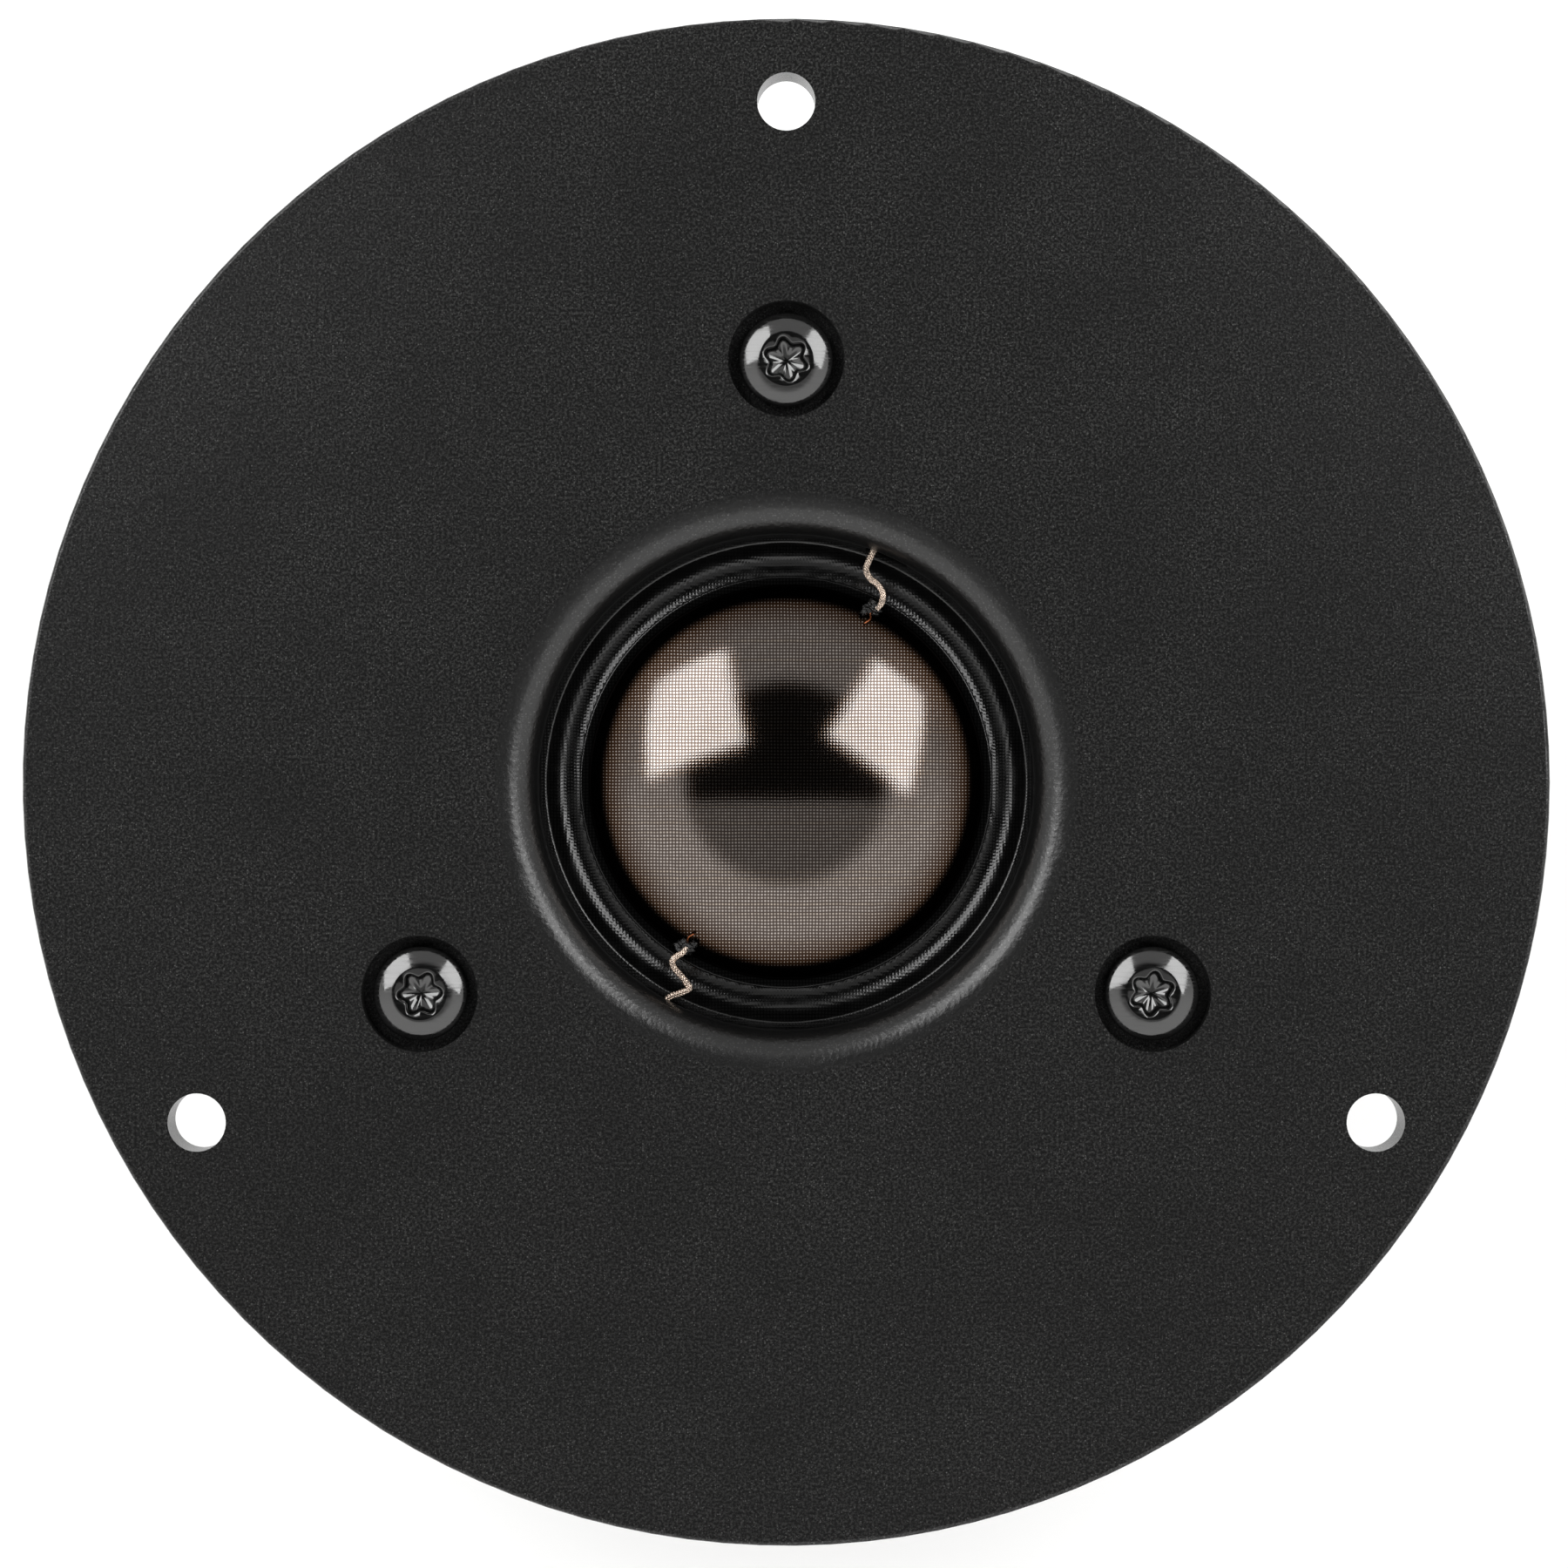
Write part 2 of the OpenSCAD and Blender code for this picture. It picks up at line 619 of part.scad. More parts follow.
// Three long screws through the posts into the back plate
module chamber_screws() {
    color("#2b2b2b") in_threes(post_circle_r) translate([0, 0, chamber_z - post_ledge])
        rotate([180, 0, 0]) pan_screw(2.75, 2, chamber_screw_r, chamber_screw_l, 1.2, 0.9);
}

// Loose wool that damps the air in the chamber
module chamber_wool() {
    r = post_circle_r - post_r - 0.5;
    low = base_z + chamber_floor + 0.2;
    h = chamber_h - chamber_floor - 2.2;
    color("#d9d5c8") rotate_extrude() {
        translate([0, low]) square([r - wool_edge, h]);
        translate([0, low + wool_edge]) square([r, h - 2 * wool_edge]);
        for (z = [low + wool_edge, low + h - wool_edge]) translate([r - wool_edge, z]) circle(wool_edge);
    }
}

// Coated cloth cap with a flat foot for the tube and the surround
module dome() {
    cap_top_z = dome_centre_z + dome_sphere_r;
    color("#5d4a3e") difference() {
        rotate_extrude() {
            intersection() {
                translate([0, dome_centre_z]) difference() {
                    circle(dome_sphere_r);
                    circle(dome_sphere_r - dome_t);
                }
                translate([0, dome_foot_z]) square([dome_base_r + 1, cap_top_z - dome_foot_z + 1]);
            }
            translate([dome_base_r - 0.25, dome_foot_z]) square([0.7, dome_t]);
        }
        tail_holes(dome_seat_z + 0.01);
    }
}

// Aluminium tube that the coil is wound on
module voice_coil_former() {
    color("#b9bcc0") ring(former_r, winding_r, former_end_z, former_top_z);
}

// The coil, centred in the gap
module voice_coil_winding() {
    color("#b0602c")
        ring(winding_r, winding_r + winding_t, gap_mid_z - winding_h / 2, gap_mid_z + winding_h / 2);
}

faceplate();
faceplate_screws();
flange_seal();
motor_gasket();
diaphragm_ring();
locating_pins();
surround();
tinsel_lead_upper();
tinsel_lead_lower();
ring_contacts();
contact_rivets();
solder_joints();
lead_wire_positive();
lead_wire_negative();
terminal_block();
terminal_tab_positive();
terminal_tab_negative();
terminal_screws();
top_plate();
magnet();
yoke();
copper_cap();
pole_damper();
chamber_gasket();
rear_chamber();
chamber_screws();
chamber_wool();
dome();
voice_coil_former();
voice_coil_winding();
coil_tails();
lead_glue_dots();
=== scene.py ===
# %% [markdown]
# # A soft-dome tweeter, dressed on its CAD frame
# The CAD model already has every part at its true size and place. This lesson gives each part
# the surface and the small shapes that make it look real: a speckled powder coat, woven cloth
# under lacquer, braided leads, turned steel and ground ferrite.
# Everything is in metres, with the flange's rear face at z = 0 and +Z toward the listener.

# %% Load the frame
import math

import bmesh
import bpy
from mathutils import Matrix, Vector, noise
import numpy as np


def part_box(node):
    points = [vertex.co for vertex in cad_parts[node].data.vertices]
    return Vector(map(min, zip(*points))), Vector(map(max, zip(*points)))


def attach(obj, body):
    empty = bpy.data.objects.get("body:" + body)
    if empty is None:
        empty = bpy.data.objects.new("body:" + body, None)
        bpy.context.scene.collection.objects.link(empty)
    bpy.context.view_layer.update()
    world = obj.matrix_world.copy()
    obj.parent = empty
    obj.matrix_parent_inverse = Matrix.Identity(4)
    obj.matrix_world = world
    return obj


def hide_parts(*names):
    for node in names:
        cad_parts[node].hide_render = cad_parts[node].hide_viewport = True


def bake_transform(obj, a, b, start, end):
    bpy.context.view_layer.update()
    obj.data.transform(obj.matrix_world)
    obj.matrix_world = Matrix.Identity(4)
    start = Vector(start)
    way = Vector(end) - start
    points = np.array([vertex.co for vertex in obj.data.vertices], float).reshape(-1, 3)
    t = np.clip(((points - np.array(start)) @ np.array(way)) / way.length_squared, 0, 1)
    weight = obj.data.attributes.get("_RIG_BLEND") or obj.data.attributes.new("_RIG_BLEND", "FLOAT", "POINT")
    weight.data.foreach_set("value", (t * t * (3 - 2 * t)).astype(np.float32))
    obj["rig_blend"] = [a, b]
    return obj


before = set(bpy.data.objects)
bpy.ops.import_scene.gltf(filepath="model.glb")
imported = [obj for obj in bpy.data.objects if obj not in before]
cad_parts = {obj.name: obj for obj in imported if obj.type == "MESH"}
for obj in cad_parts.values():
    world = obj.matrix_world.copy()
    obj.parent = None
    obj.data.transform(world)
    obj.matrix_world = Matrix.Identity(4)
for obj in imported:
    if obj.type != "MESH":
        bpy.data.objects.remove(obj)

MM = 0.001
scene = bpy.context.scene
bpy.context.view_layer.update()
_, plate_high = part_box("faceplate")
face_z = plate_high.z
print("CAD nodes:", len(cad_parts), "flange", round(plate_high.x * 2 / MM, 1), "mm across")

# %% [markdown]
# ## Camera
# A catalogue picture of a driver is taken from straight in front. The lens is long and the
# camera stands about 0.4 m away, so the inner walls of the holes still show a little.

# %% The camera looks straight down the axis
camera_height = 0.380
frame_width = 0.11285
camera_data = bpy.data.cameras.new("camera")
camera_data.sensor_width = 36
camera_data.lens = camera_data.sensor_width * camera_height / frame_width
camera_data.clip_start = 0.01
camera = bpy.data.objects.new("camera", camera_data)
camera.location = (-0.00016, -0.00013, face_z + camera_height)
scene.collection.objects.link(camera)
scene.camera = camera
print("lens", round(camera_data.lens, 1), "mm")

# %% [markdown]
# ## Small helpers for node trees
# Materials, the sky and Geometry Nodes all use the same kind of tree. One helper adds a node,
# sets its options and feeds its sockets, with either a plain value or another node's output.
# A socket knows the tree that it belongs to, so sums of sockets don't have to be told.

# %% One helper that adds a node
def add(tree, kind, feeds=None, **options):
    node = tree.nodes.new(kind)
    for option, value in options.items():
        setattr(node, option, value)
    for socket, value in (feeds or {}).items():
        if isinstance(value, bpy.types.NodeSocket):
            tree.links.new(value, node.inputs[socket])
        else:
            node.inputs[socket].default_value = value
    return node


def tree_of(*values):
    return next(v.id_data for v in values if isinstance(v, bpy.types.NodeSocket))


def maths(how, *values, clamp=False):
    return add(tree_of(*values), "ShaderNodeMath", dict(enumerate(values)), operation=how,
               use_clamp=clamp).outputs[0]


def times(first, second):
    return maths("MULTIPLY", first, second)


def xyz(**parts):
    return add(tree_of(*parts.values()), "ShaderNodeCombineXYZ", parts).outputs[0]


def remap(value, low, high, to_low=0.0, to_high=1.0, smooth=False):
    feeds = {"Value": value, "From Min": low, "From Max": high,
             "To Min": to_low, "To Max": to_high}
    return add(value.id_data, "ShaderNodeMapRange", feeds,
               interpolation_type="SMOOTHSTEP" if smooth else "LINEAR").outputs["Result"]


def mix_colour(share, first, second):
    node = add(share.id_data, "ShaderNodeMix", {"Factor": share}, data_type="RGBA")
    for socket, value in ((node.inputs[6], first), (node.inputs[7], second)):
        if isinstance(value, bpy.types.NodeSocket):
            share.id_data.links.new(value, socket)
        else:
            socket.default_value = (*value, 1)
    return node.outputs[2]


# %% [markdown]
# ## Light
# The driver stands in a white light tent with a dark opening above, where the camera looks
# in. Two soft boxes stand left and right behind it. A glossy dome mirrors all of that, so the
# room round it matters as much as the lamps. A sky that changes with direction is the tent:
# white cloth that dims toward the far side, and a black opening with a grey near half.

# %% The tent as a sky
tent_near = 1.55
tent_far = 0.75
opening_grey = 0.5
opening_black = 0.02
opening_height = 0.815
opening_blur = 0.03
cloth_bright_y, cloth_dim_y = -0.35, 0.45
black_ends_y, grey_starts_y = -0.10, -0.115
sky = bpy.data.worlds.new("tent")
scene.world = sky
sky.use_nodes = True
tree = sky.node_tree
tree.nodes.clear()
looking = add(tree, "ShaderNodeTexCoord").outputs["Generated"]
way = add(tree, "ShaderNodeSeparateXYZ", {0: looking})
in_opening = remap(way.outputs["Z"], opening_height - opening_blur,
                   opening_height + opening_blur, smooth=True)
near_half = remap(way.outputs["Y"], black_ends_y, grey_starts_y, smooth=True)
opening = maths("MULTIPLY_ADD", near_half, opening_grey - opening_black, opening_black)
white_share = maths("SUBTRACT", 1.0, in_opening)
cloth_white = remap(way.outputs["Y"], cloth_bright_y, cloth_dim_y, tent_near, tent_far,
                    smooth=True)
strength = maths("MULTIPLY_ADD", white_share, cloth_white, times(in_opening, opening))
light = add(tree, "ShaderNodeBackground", {"Color": (1, 0.995, 0.985, 1), "Strength": strength})
add(tree, "ShaderNodeOutputWorld", {"Surface": light.outputs[0]})
print("tent opening:", round(math.degrees(math.acos(opening_height))), "degrees off the axis")

# %% Two soft boxes
def soft_box(name, centre, along, across, size, radiance):
    lamp = bpy.data.lights.new(name, "AREA")
    lamp.shape = "RECTANGLE"
    lamp.size, lamp.size_y = size
    lamp.energy = radiance * math.pi * size[0] * size[1]
    body = bpy.data.objects.new(name, lamp)
    x = Vector(across).normalized()
    y = Vector(along).normalized()
    z = x.cross(y).normalized()
    if z.dot(Vector(centre)) < 0:
        x, z = -x, -z
    body.matrix_world = Matrix([[x[i], y[i], z[i], centre[i]] for i in range(3)]
                               + [[0, 0, 0, 1]])
    scene.collection.objects.link(body)
    return body


box_radiance = 5.6
left_box = soft_box("soft_box_left", (-0.475, 0.375, 0.597), (-0.286, 0.957, 0.049),
                    (-0.951, -0.277, -0.136), (0.49, 0.61), box_radiance)
right_box = soft_box("soft_box_right", (0.504, 0.359, 0.583), (0.556, 0.807, 0.197),
                     (0.831, -0.541, -0.128), (0.375, 0.75), box_radiance)
print("soft boxes:", [round(math.degrees(b.location.angle(Vector((0, 0, 1))))) for b in
                      (left_box, right_box)], "degrees off the axis")

# %% The floor that the driver stands on
stand_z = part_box("rear_chamber")[0].z
floor_mesh = bpy.data.meshes.new("floor")
half = 3.0
floor_mesh.from_pydata([(-half, -half, stand_z), (half, -half, stand_z), (half, half, stand_z),
                        (-half, half, stand_z)], [], [(0, 1, 2, 3)])
floor = bpy.data.objects.new("floor", floor_mesh)
scene.collection.objects.link(floor)
paper = bpy.data.materials.new("floor_paper")
paper.use_nodes = True
shader = paper.node_tree.nodes["Principled BSDF"]
shader.inputs["Base Color"].default_value = (0.97, 0.97, 0.97, 1)
shader.inputs["Roughness"].default_value = 0.9
floor_mesh.materials.append(paper)
scene.view_settings.view_transform = "Standard"

# %% [markdown]
# ## Patterns in millimetres
# Every finish is drawn on Object coordinates, turned into millimetres, so that a pattern has
# its real size: a weave of 0.235 mm is simply a wave of 0.235. The helpers below give the
# building stones: a soft cloud of noise, the distance from the axis, and a relief that turns
# heights into bumps of a real depth.

# %% Helpers for finishes
def new_finish(name, colour, roughness, **sockets):
    finish = bpy.data.materials.new(name)
    finish.use_nodes = True
    shader = finish.node_tree.nodes["Principled BSDF"]
    shader.inputs["Base Color"].default_value = (*colour, 1)
    shader.inputs["Roughness"].default_value = roughness
    for label, value in sockets.items():
        shader.inputs[label.replace("_", " ")].default_value = value
    return finish, finish.node_tree, shader


def in_mm(tree, centre=(0, 0, 0), stretch=(1, 1, 1)):
    here = add(tree, "ShaderNodeTexCoord").outputs["Object"]
    scale = tuple(s / MM for s in stretch)
    shift = tuple(-c * s for c, s in zip(centre, stretch))
    return add(tree, "ShaderNodeMapping", {"Vector": here, "Scale": scale,
                                           "Location": shift}).outputs["Vector"]


def cloud(at, per_mm, detail=2.0, rough=0.5):
    return add(at.id_data, "ShaderNodeTexNoise", {
        "Vector": at, "Scale": per_mm, "Detail": detail, "Roughness": rough}).outputs["Fac"]


def cells(at, per_mm, feature="F1"):
    return add(at.id_data, "ShaderNodeTexVoronoi", {"Vector": at, "Scale": per_mm}, feature=feature)


def axes(at):
    split = add(at.id_data, "ShaderNodeSeparateXYZ", {0: at})
    return split.outputs["X"], split.outputs["Y"], split.outputs["Z"]


def off_axis(at):
    x, y, _ = axes(at)
    return add(at.id_data, "ShaderNodeVectorMath", {0: xyz(X=x, Y=y)},
               operation="LENGTH").outputs["Value"]


def relief(shader, height, depth_mm, strength=1.0, socket="Normal"):
    bump = add(shader.id_data, "ShaderNodeBump", {
        "Height": height, "Distance": depth_mm * MM, "Strength": strength})
    use(bump.outputs[0], shader, socket)


def use(value, shader, socket):
    shader.id_data.links.new(value, shader.inputs[socket])


def tint(shader, share, first, second):
    use(mix_colour(share, first, second), shader, "Base Color")


finishes = {}

# %% [markdown]
# ## Powder coat
# The flange is an aluminium casting with a dark powder coat. Under the tent its flat face
# sparkles finely, and the rounded lip of the well shows the skin of the casting, like
# leather. The sparkle's glints are a painted highlight: pale grey flecks in the colour, mixed
# with real lighter tone from the grain. Both come from noise at the size of the real grain, and
# the lip is found by its distance from the axis.

# %% The flange's finish
lip_outer_mm, lip_inner_mm = 21.2, 20.5
coat, tree, shader = new_finish("flange_coat", (0.003, 0.003, 0.003), 0.4, Specular_IOR_Level=0.5)
here = in_mm(tree)
out = off_axis(here)
_, _, up = axes(here)
on_lip = times(remap(out, lip_outer_mm, lip_inner_mm, smooth=True), remap(up, 0.5, 1.0))
grain = cloud(here, 5.2, 2.5, 0.65)
fleck = cells(here, 6.5)
# Painted highlight: the coat's sparkle glints, painted as pale grey flecks in the base colour.
painted_fleck_glints = times(remap(fleck.outputs["Distance"], 0.42, 0.10),
                    remap(axes(fleck.outputs["Color"])[0], 0.72, 1.0))
patches = cloud(here, 0.12, 3, 0.5)
# Pale share: painted sparkle glints plus real lighter tone from the grain, with fewer flecks on the lip.
glints_and_grain_share = maths("ADD", times(painted_fleck_glints, 0.8),
                    times(remap(grain, 0.45, 0.75), 0.35), clamp=True)
glints_and_grain_share = times(glints_and_grain_share, remap(on_lip, 0, 1, 1.0, 0.15))
glints_and_grain_share = times(glints_and_grain_share, remap(patches, 0.35, 0.65, 0.8, 1.15))
tint(shader, glints_and_grain_share, (0.0030, 0.0030, 0.0030), (0.078, 0.078, 0.076))
use(remap(on_lip, 0, 1, 0.27, 0.29), shader, "Roughness")
gloss = times(remap(fleck.outputs["Distance"], 0.55, 0.15),
              remap(axes(fleck.outputs["Color"])[1], 0.45, 1.0))
use(maths("MULTIPLY_ADD", on_lip, 0.22, remap(gloss, 0, 1, 0.30, 0.85)),
    shader, "Specular IOR Level")
leather = maths("ADD", times(cells(here, 2.6).outputs["Distance"], 0.6),
                cloud(here, 3.4, 3, 0.6))
height = add(tree, "ShaderNodeMix", {"Factor": on_lip, 2: grain, 3: leather}).outputs[0]
relief(shader, height, 0.022, 0.9)
finishes["flange_coating"] = coat

# %% [markdown]
# ## Plastics, foam and paper
# Moulded parts are never quite even: the tool leaves a fine spark-eroded grain, and handling
# leaves slightly glossier spots. One maker gives each plastic its own colour and grain. Foam
# is open cells, and gasket paper is short fibres lying across each other.

# %% Moulded plastics
def moulded(name, colour, roughness, grain_mm=0.25, depth_mm=0.012, level=0.45):
    finish, tree, shader = new_finish(name, colour, roughness, Specular_IOR_Level=level)
    here = in_mm(tree)
    grain = cloud(here, 1 / grain_mm, 3, 0.6)
    rubbed = cloud(here, 0.09, 4, 0.6)
    paler = tuple(min(c * 1.9 + 0.006, 1) for c in colour)
    tint(shader, remap(grain, 0.4, 0.8), colour, paler)
    use(remap(rubbed, 0.35, 0.65, roughness + 0.1, roughness - 0.12), shader,
        "Roughness")
    relief(shader, grain, depth_mm, 0.8)
    return finish


finishes["ring_plastic"] = moulded("ring_moulding", (0.012, 0.012, 0.012), 0.42)
finishes["block_plastic"] = moulded("block_moulding", (0.014, 0.014, 0.015), 0.38)
finishes["chamber_plastic"] = moulded("chamber_moulding", (0.018, 0.018, 0.019), 0.48, 0.4, 0.03)
finishes["wire_red"] = moulded("red_sleeve", (0.30, 0.012, 0.010), 0.34, 0.5, 0.004)
finishes["wire_black"] = moulded("black_sleeve", (0.013, 0.013, 0.015), 0.34, 0.5, 0.004)

# %% Foam, felt, wool and paper
foam, tree, shader = new_finish("foam_cells", (0.03, 0.03, 0.032), 0.95, Specular_IOR_Level=0.2)
here = in_mm(tree)
pores = cells(here, 3.2, "DISTANCE_TO_EDGE").outputs["Distance"]
# Painted shade: the hollow of each open cell is painted darker than the walls round it.
tint(shader, remap(pores, 0.02, 0.2), (0.055, 0.055, 0.058), (0.010, 0.010, 0.011))
relief(shader, remap(pores, 0.0, 0.25, 1, 0), 0.12)
finishes["foam"] = foam


def fibrous(name, dark, pale, stretch, per_mm, depth_mm, roughness=0.95):
    finish, tree, shader = new_finish(name, pale, roughness, Specular_IOR_Level=0.2,
                                      Sheen_Weight=0.3)
    one = cloud(in_mm(tree, stretch=stretch), per_mm, 4, 0.7)
    two = cloud(in_mm(tree, stretch=(stretch[1], stretch[2], stretch[0])), per_mm, 4, 0.7)
    fibres = maths("MAXIMUM", one, two)
    tint(shader, remap(fibres, 0.4, 0.72), dark, pale)
    relief(shader, fibres, depth_mm)
    return finish


finishes["gasket_paper"] = fibrous("gasket_paper", (0.10, 0.065, 0.035), (0.30, 0.22, 0.14),
                                   (0.25, 1.4, 1.0), 1.6, 0.05, 0.8)
finishes["felt"] = fibrous("damping_felt", (0.16, 0.10, 0.06), (0.42, 0.31, 0.21),
                           (0.35, 1.6, 1.2), 2.4, 0.15)
finishes["wool"] = fibrous("wadding", (0.55, 0.51, 0.43), (0.86, 0.83, 0.76),
                           (0.3, 1.5, 1.2), 1.5, 0.25)

# %% [markdown]
# ## Metals
# Turned steel shows fine rings round the axis, because the tool moves outward as the part
# spins. Zinc and tin plating are cloudy, brass is stamped, and ferrite isn't metal-bright at
# all: it is a grey ceramic, ground flat on its faces, with tiny chips along its edges.

# %% Metals
def turned(name, colour, roughness, ring_mm=0.16, depth_mm=0.004, patina=(0.6, 0.6, 0.6)):
    finish, tree, shader = new_finish(name, colour, roughness, Metallic=1.0)
    here = in_mm(tree)
    out = off_axis(here)
    wobble = cloud(here, 0.8, 2)
    rings = maths("SINE", maths("MULTIPLY_ADD", out, 2 * math.pi / ring_mm, times(wobble, 3.0)))
    stain = cloud(here, 0.15, 5, 0.65)
    dull = tuple(c * p for c, p in zip(colour, patina))
    tint(shader, remap(stain, 0.35, 0.75), colour, dull)
    use(remap(stain, 0.3, 0.7, roughness - 0.08, roughness + 0.14), shader, "Roughness")
    relief(shader, rings, depth_mm, 0.6)
    return finish


def plated(name, colour, roughness, cloud_per_mm=0.7, depth_mm=0.006, dull=0.55, metallic=1.0):
    finish, tree, shader = new_finish(name, colour, roughness, Metallic=metallic)
    here = in_mm(tree)
    mottle = cloud(here, cloud_per_mm, 5, 0.6)
    scratch = cloud(in_mm(tree, stretch=(0.2, 3.0, 0.6)), 2.0, 3, 0.6)
    darker = tuple(c * dull for c in colour)
    tint(shader, remap(mottle, 0.35, 0.72), colour, darker)
    use(remap(scratch, 0.35, 0.7, roughness - 0.06, roughness + 0.12), shader,
        "Roughness")
    relief(shader, scratch, depth_mm, 0.6)
    return finish


finishes["plate_steel"] = turned("turned_steel", (0.52, 0.51, 0.49), 0.34,
                                 patina=(0.62, 0.60, 0.58))
finishes["pin_steel"] = turned("pin_steel", (0.60, 0.59, 0.58), 0.24, 0.08, 0.002)
finishes["former_aluminium"] = turned("coil_tube_metal", (0.72, 0.72, 0.72), 0.22, 0.3, 0.003)
finishes["copper"] = turned("cap_copper", (0.66, 0.30, 0.17), 0.28, 0.12, 0.003,
                            patina=(0.62, 0.50, 0.45))
finishes["zinc_steel"] = plated("zinc_plate", (0.62, 0.62, 0.58), 0.30)
finishes["tab_tin"] = plated("tin_plate", (0.70, 0.69, 0.66), 0.27, 1.6)
finishes["lug_brass"] = plated("stamped_brass", (0.70, 0.50, 0.20), 0.28, 1.2)
finishes["solder"] = plated("solder", (0.66, 0.66, 0.66), 0.20, 2.2, 0.02, 0.7)
finishes["coil_wire"] = plated("enamelled_copper", (0.36, 0.12, 0.05), 0.24, 3.0, 0.003, 0.6)
finishes["screw_black"] = plated("black_screw", (0.004, 0.004, 0.004), 0.10, 1.5, 0.003, 0.45, 0.0)
shader = finishes["screw_black"].node_tree.nodes["Principled BSDF"]
shader.inputs["Specular IOR Level"].default_value = 1.0

# %% Ferrite
ferrite, tree, shader = new_finish("ferrite", (0.07, 0.07, 0.075), 0.6, Specular_IOR_Level=0.5)
here = in_mm(tree)
speck = cloud(here, 4.5, 4, 0.7)
stain = cloud(here, 0.12, 4, 0.6)
chip = cells(here, 0.9).outputs["Distance"]
tint(shader, remap(speck, 0.4, 0.75), (0.035, 0.036, 0.040), (0.115, 0.115, 0.120))
use(remap(stain, 0.3, 0.7, 0.45, 0.7), shader, "Roughness")
relief(shader, maths("ADD", speck, remap(chip, 0.0, 0.12, 0, 1)), 0.03, 0.7)
finishes["ferrite"] = ferrite

# %% [markdown]
# ## Dome cloth
# The dome is a fine plain weave, stretched over a former and lacquered. Each crossing of two
# threads is a small pale bump and each gap is a dark pit. The threads glint, because they are
# smooth fibres soaked in lacquer, and the clear lacquer on top mirrors the soft boxes.
# The product of two sine waves, one along x and one along y, puts a bump at each crossing.
# Toward the rim the cloth is painted darker: partly the real black coating of the surround,
# which laps over the cloth, and partly painted shade for the dark reflection of the flange's lip.

# %% The dome's finish
thread_pitch = 0.235
lacquer_thins_mm, lacquer_ends_mm = 10.8, 13.2
black_from_mm, black_to_mm = 13.55, 12.8


def weave(at, pitch):
    """Height of a plain weave, from 0 in a gap to 1 on a crossing, and the number of its cell."""
    x, y, _ = axes(at)
    waves = [maths("ABSOLUTE", maths("SINE", times(v, math.pi / pitch)))
             for v in (x, y)]
    cell = xyz(X=maths("FLOOR", maths("DIVIDE", x, pitch)),
               Y=maths("FLOOR", maths("DIVIDE", y, pitch)))
    return times(*waves), cell


def stirred(at, amount, per_mm):
    """The same place, pushed about a little, so that threads don't run dead straight."""
    tree = at.id_data
    push = add(tree, "ShaderNodeTexNoise", {"Vector": at, "Scale": per_mm, "Detail": 1.0})
    centred = add(tree, "ShaderNodeVectorMath", {0: push.outputs["Color"], 1: (0.5, 0.5, 0.5)},
                  operation="SUBTRACT").outputs[0]
    return add(tree, "ShaderNodeVectorMath", {0: centred, 1: (amount,) * 3, 2: at},
               operation="MULTIPLY_ADD").outputs[0]


cloth, tree, shader = new_finish("dome_weave", (0.3, 0.24, 0.2), 0.1, Metallic=1.0,
                                 Coat_Roughness=0.03, Coat_IOR=1.5)
here = in_mm(tree)
thread, cell = weave(stirred(here, 0.09, 0.5), thread_pitch)
out = off_axis(here)
each = add(tree, "ShaderNodeTexWhiteNoise", {"Vector": cell}).outputs["Value"]
_, row, _ = axes(cell)
golden = add(tree, "ShaderNodeTexWhiteNoise", {"W": row}, noise_dimensions="1D").outputs["Value"]
# Painted shade toward the rim: partly the black coating that laps over the cloth, partly a painted dark
# reflection of the lip.
rim = remap(out, black_from_mm, black_to_mm, smooth=True)
pale = mix_colour(remap(golden, 0.6, 1.0, 0, 0.6), (0.345, 0.308, 0.282),
                  (0.36, 0.29, 0.21))
# Painted shade: from 10.6 mm outward fewer crossings count as pale threads, so the cloth darkens toward the
# rim.
thread_cutoff_rim_shade = remap(out, 10.6, 13.4, 0.3, 0.8)
thread_share = times(remap(thread, thread_cutoff_rim_shade, 0.95, smooth=True),
                     remap(each, 0, 1, 0.7, 1.0))
thread_share = times(thread_share, rim)
gap = mix_colour(rim, (0.0005, 0.0004, 0.0004), (0.024, 0.011, 0.005))
tint(shader, thread_share, gap, pale)
use(remap(out, lacquer_thins_mm, black_to_mm, 0.09, 0.26, smooth=True), shader,
    "Roughness")
use(remap(out, lacquer_ends_mm, lacquer_thins_mm, 0.0, 0.8, smooth=True), shader,
    "Coat Weight")
relief(shader, thread, 0.003)
relief(shader, thread, 0.003, 0.5, "Coat Normal")
finishes["dome_cloth"] = cloth

# %% [markdown]
# ## Surround cloth
# The surround is the same kind of cloth, soaked in black damping lacquer. Its gaps are almost
# filled, so only the tops of the crossings break the highlights into rows of dots. Near the
# dome it is matt, where the black coating has no lacquer over it.

# %% The surround's finish
matt_to_mm, glossy_from_mm = 14.75, 15.0
rubber, tree, shader = new_finish("surround_weave", (0.001, 0.001, 0.001), 0.16,
                                  Specular_IOR_Level=0.5)
here = in_mm(tree)
thread, _ = weave(stirred(here, 0.12, 0.4), thread_pitch)
pooled = cloud(here, 0.6, 3, 0.6)
tint(shader, thread, (0.0006, 0.0006, 0.0006), (0.003, 0.003, 0.003))
use(remap(pooled, 0.35, 0.65, 0.24, 0.13), shader, "Roughness")
use(remap(off_axis(here), matt_to_mm, glossy_from_mm, 0.0, 0.5, smooth=True),
    shader, "Specular IOR Level")
relief(shader, times(thread, remap(pooled, 0.3, 0.6, 0.5, 1.0)),
       0.009, 0.9)
finishes["surround_cloth"] = rubber

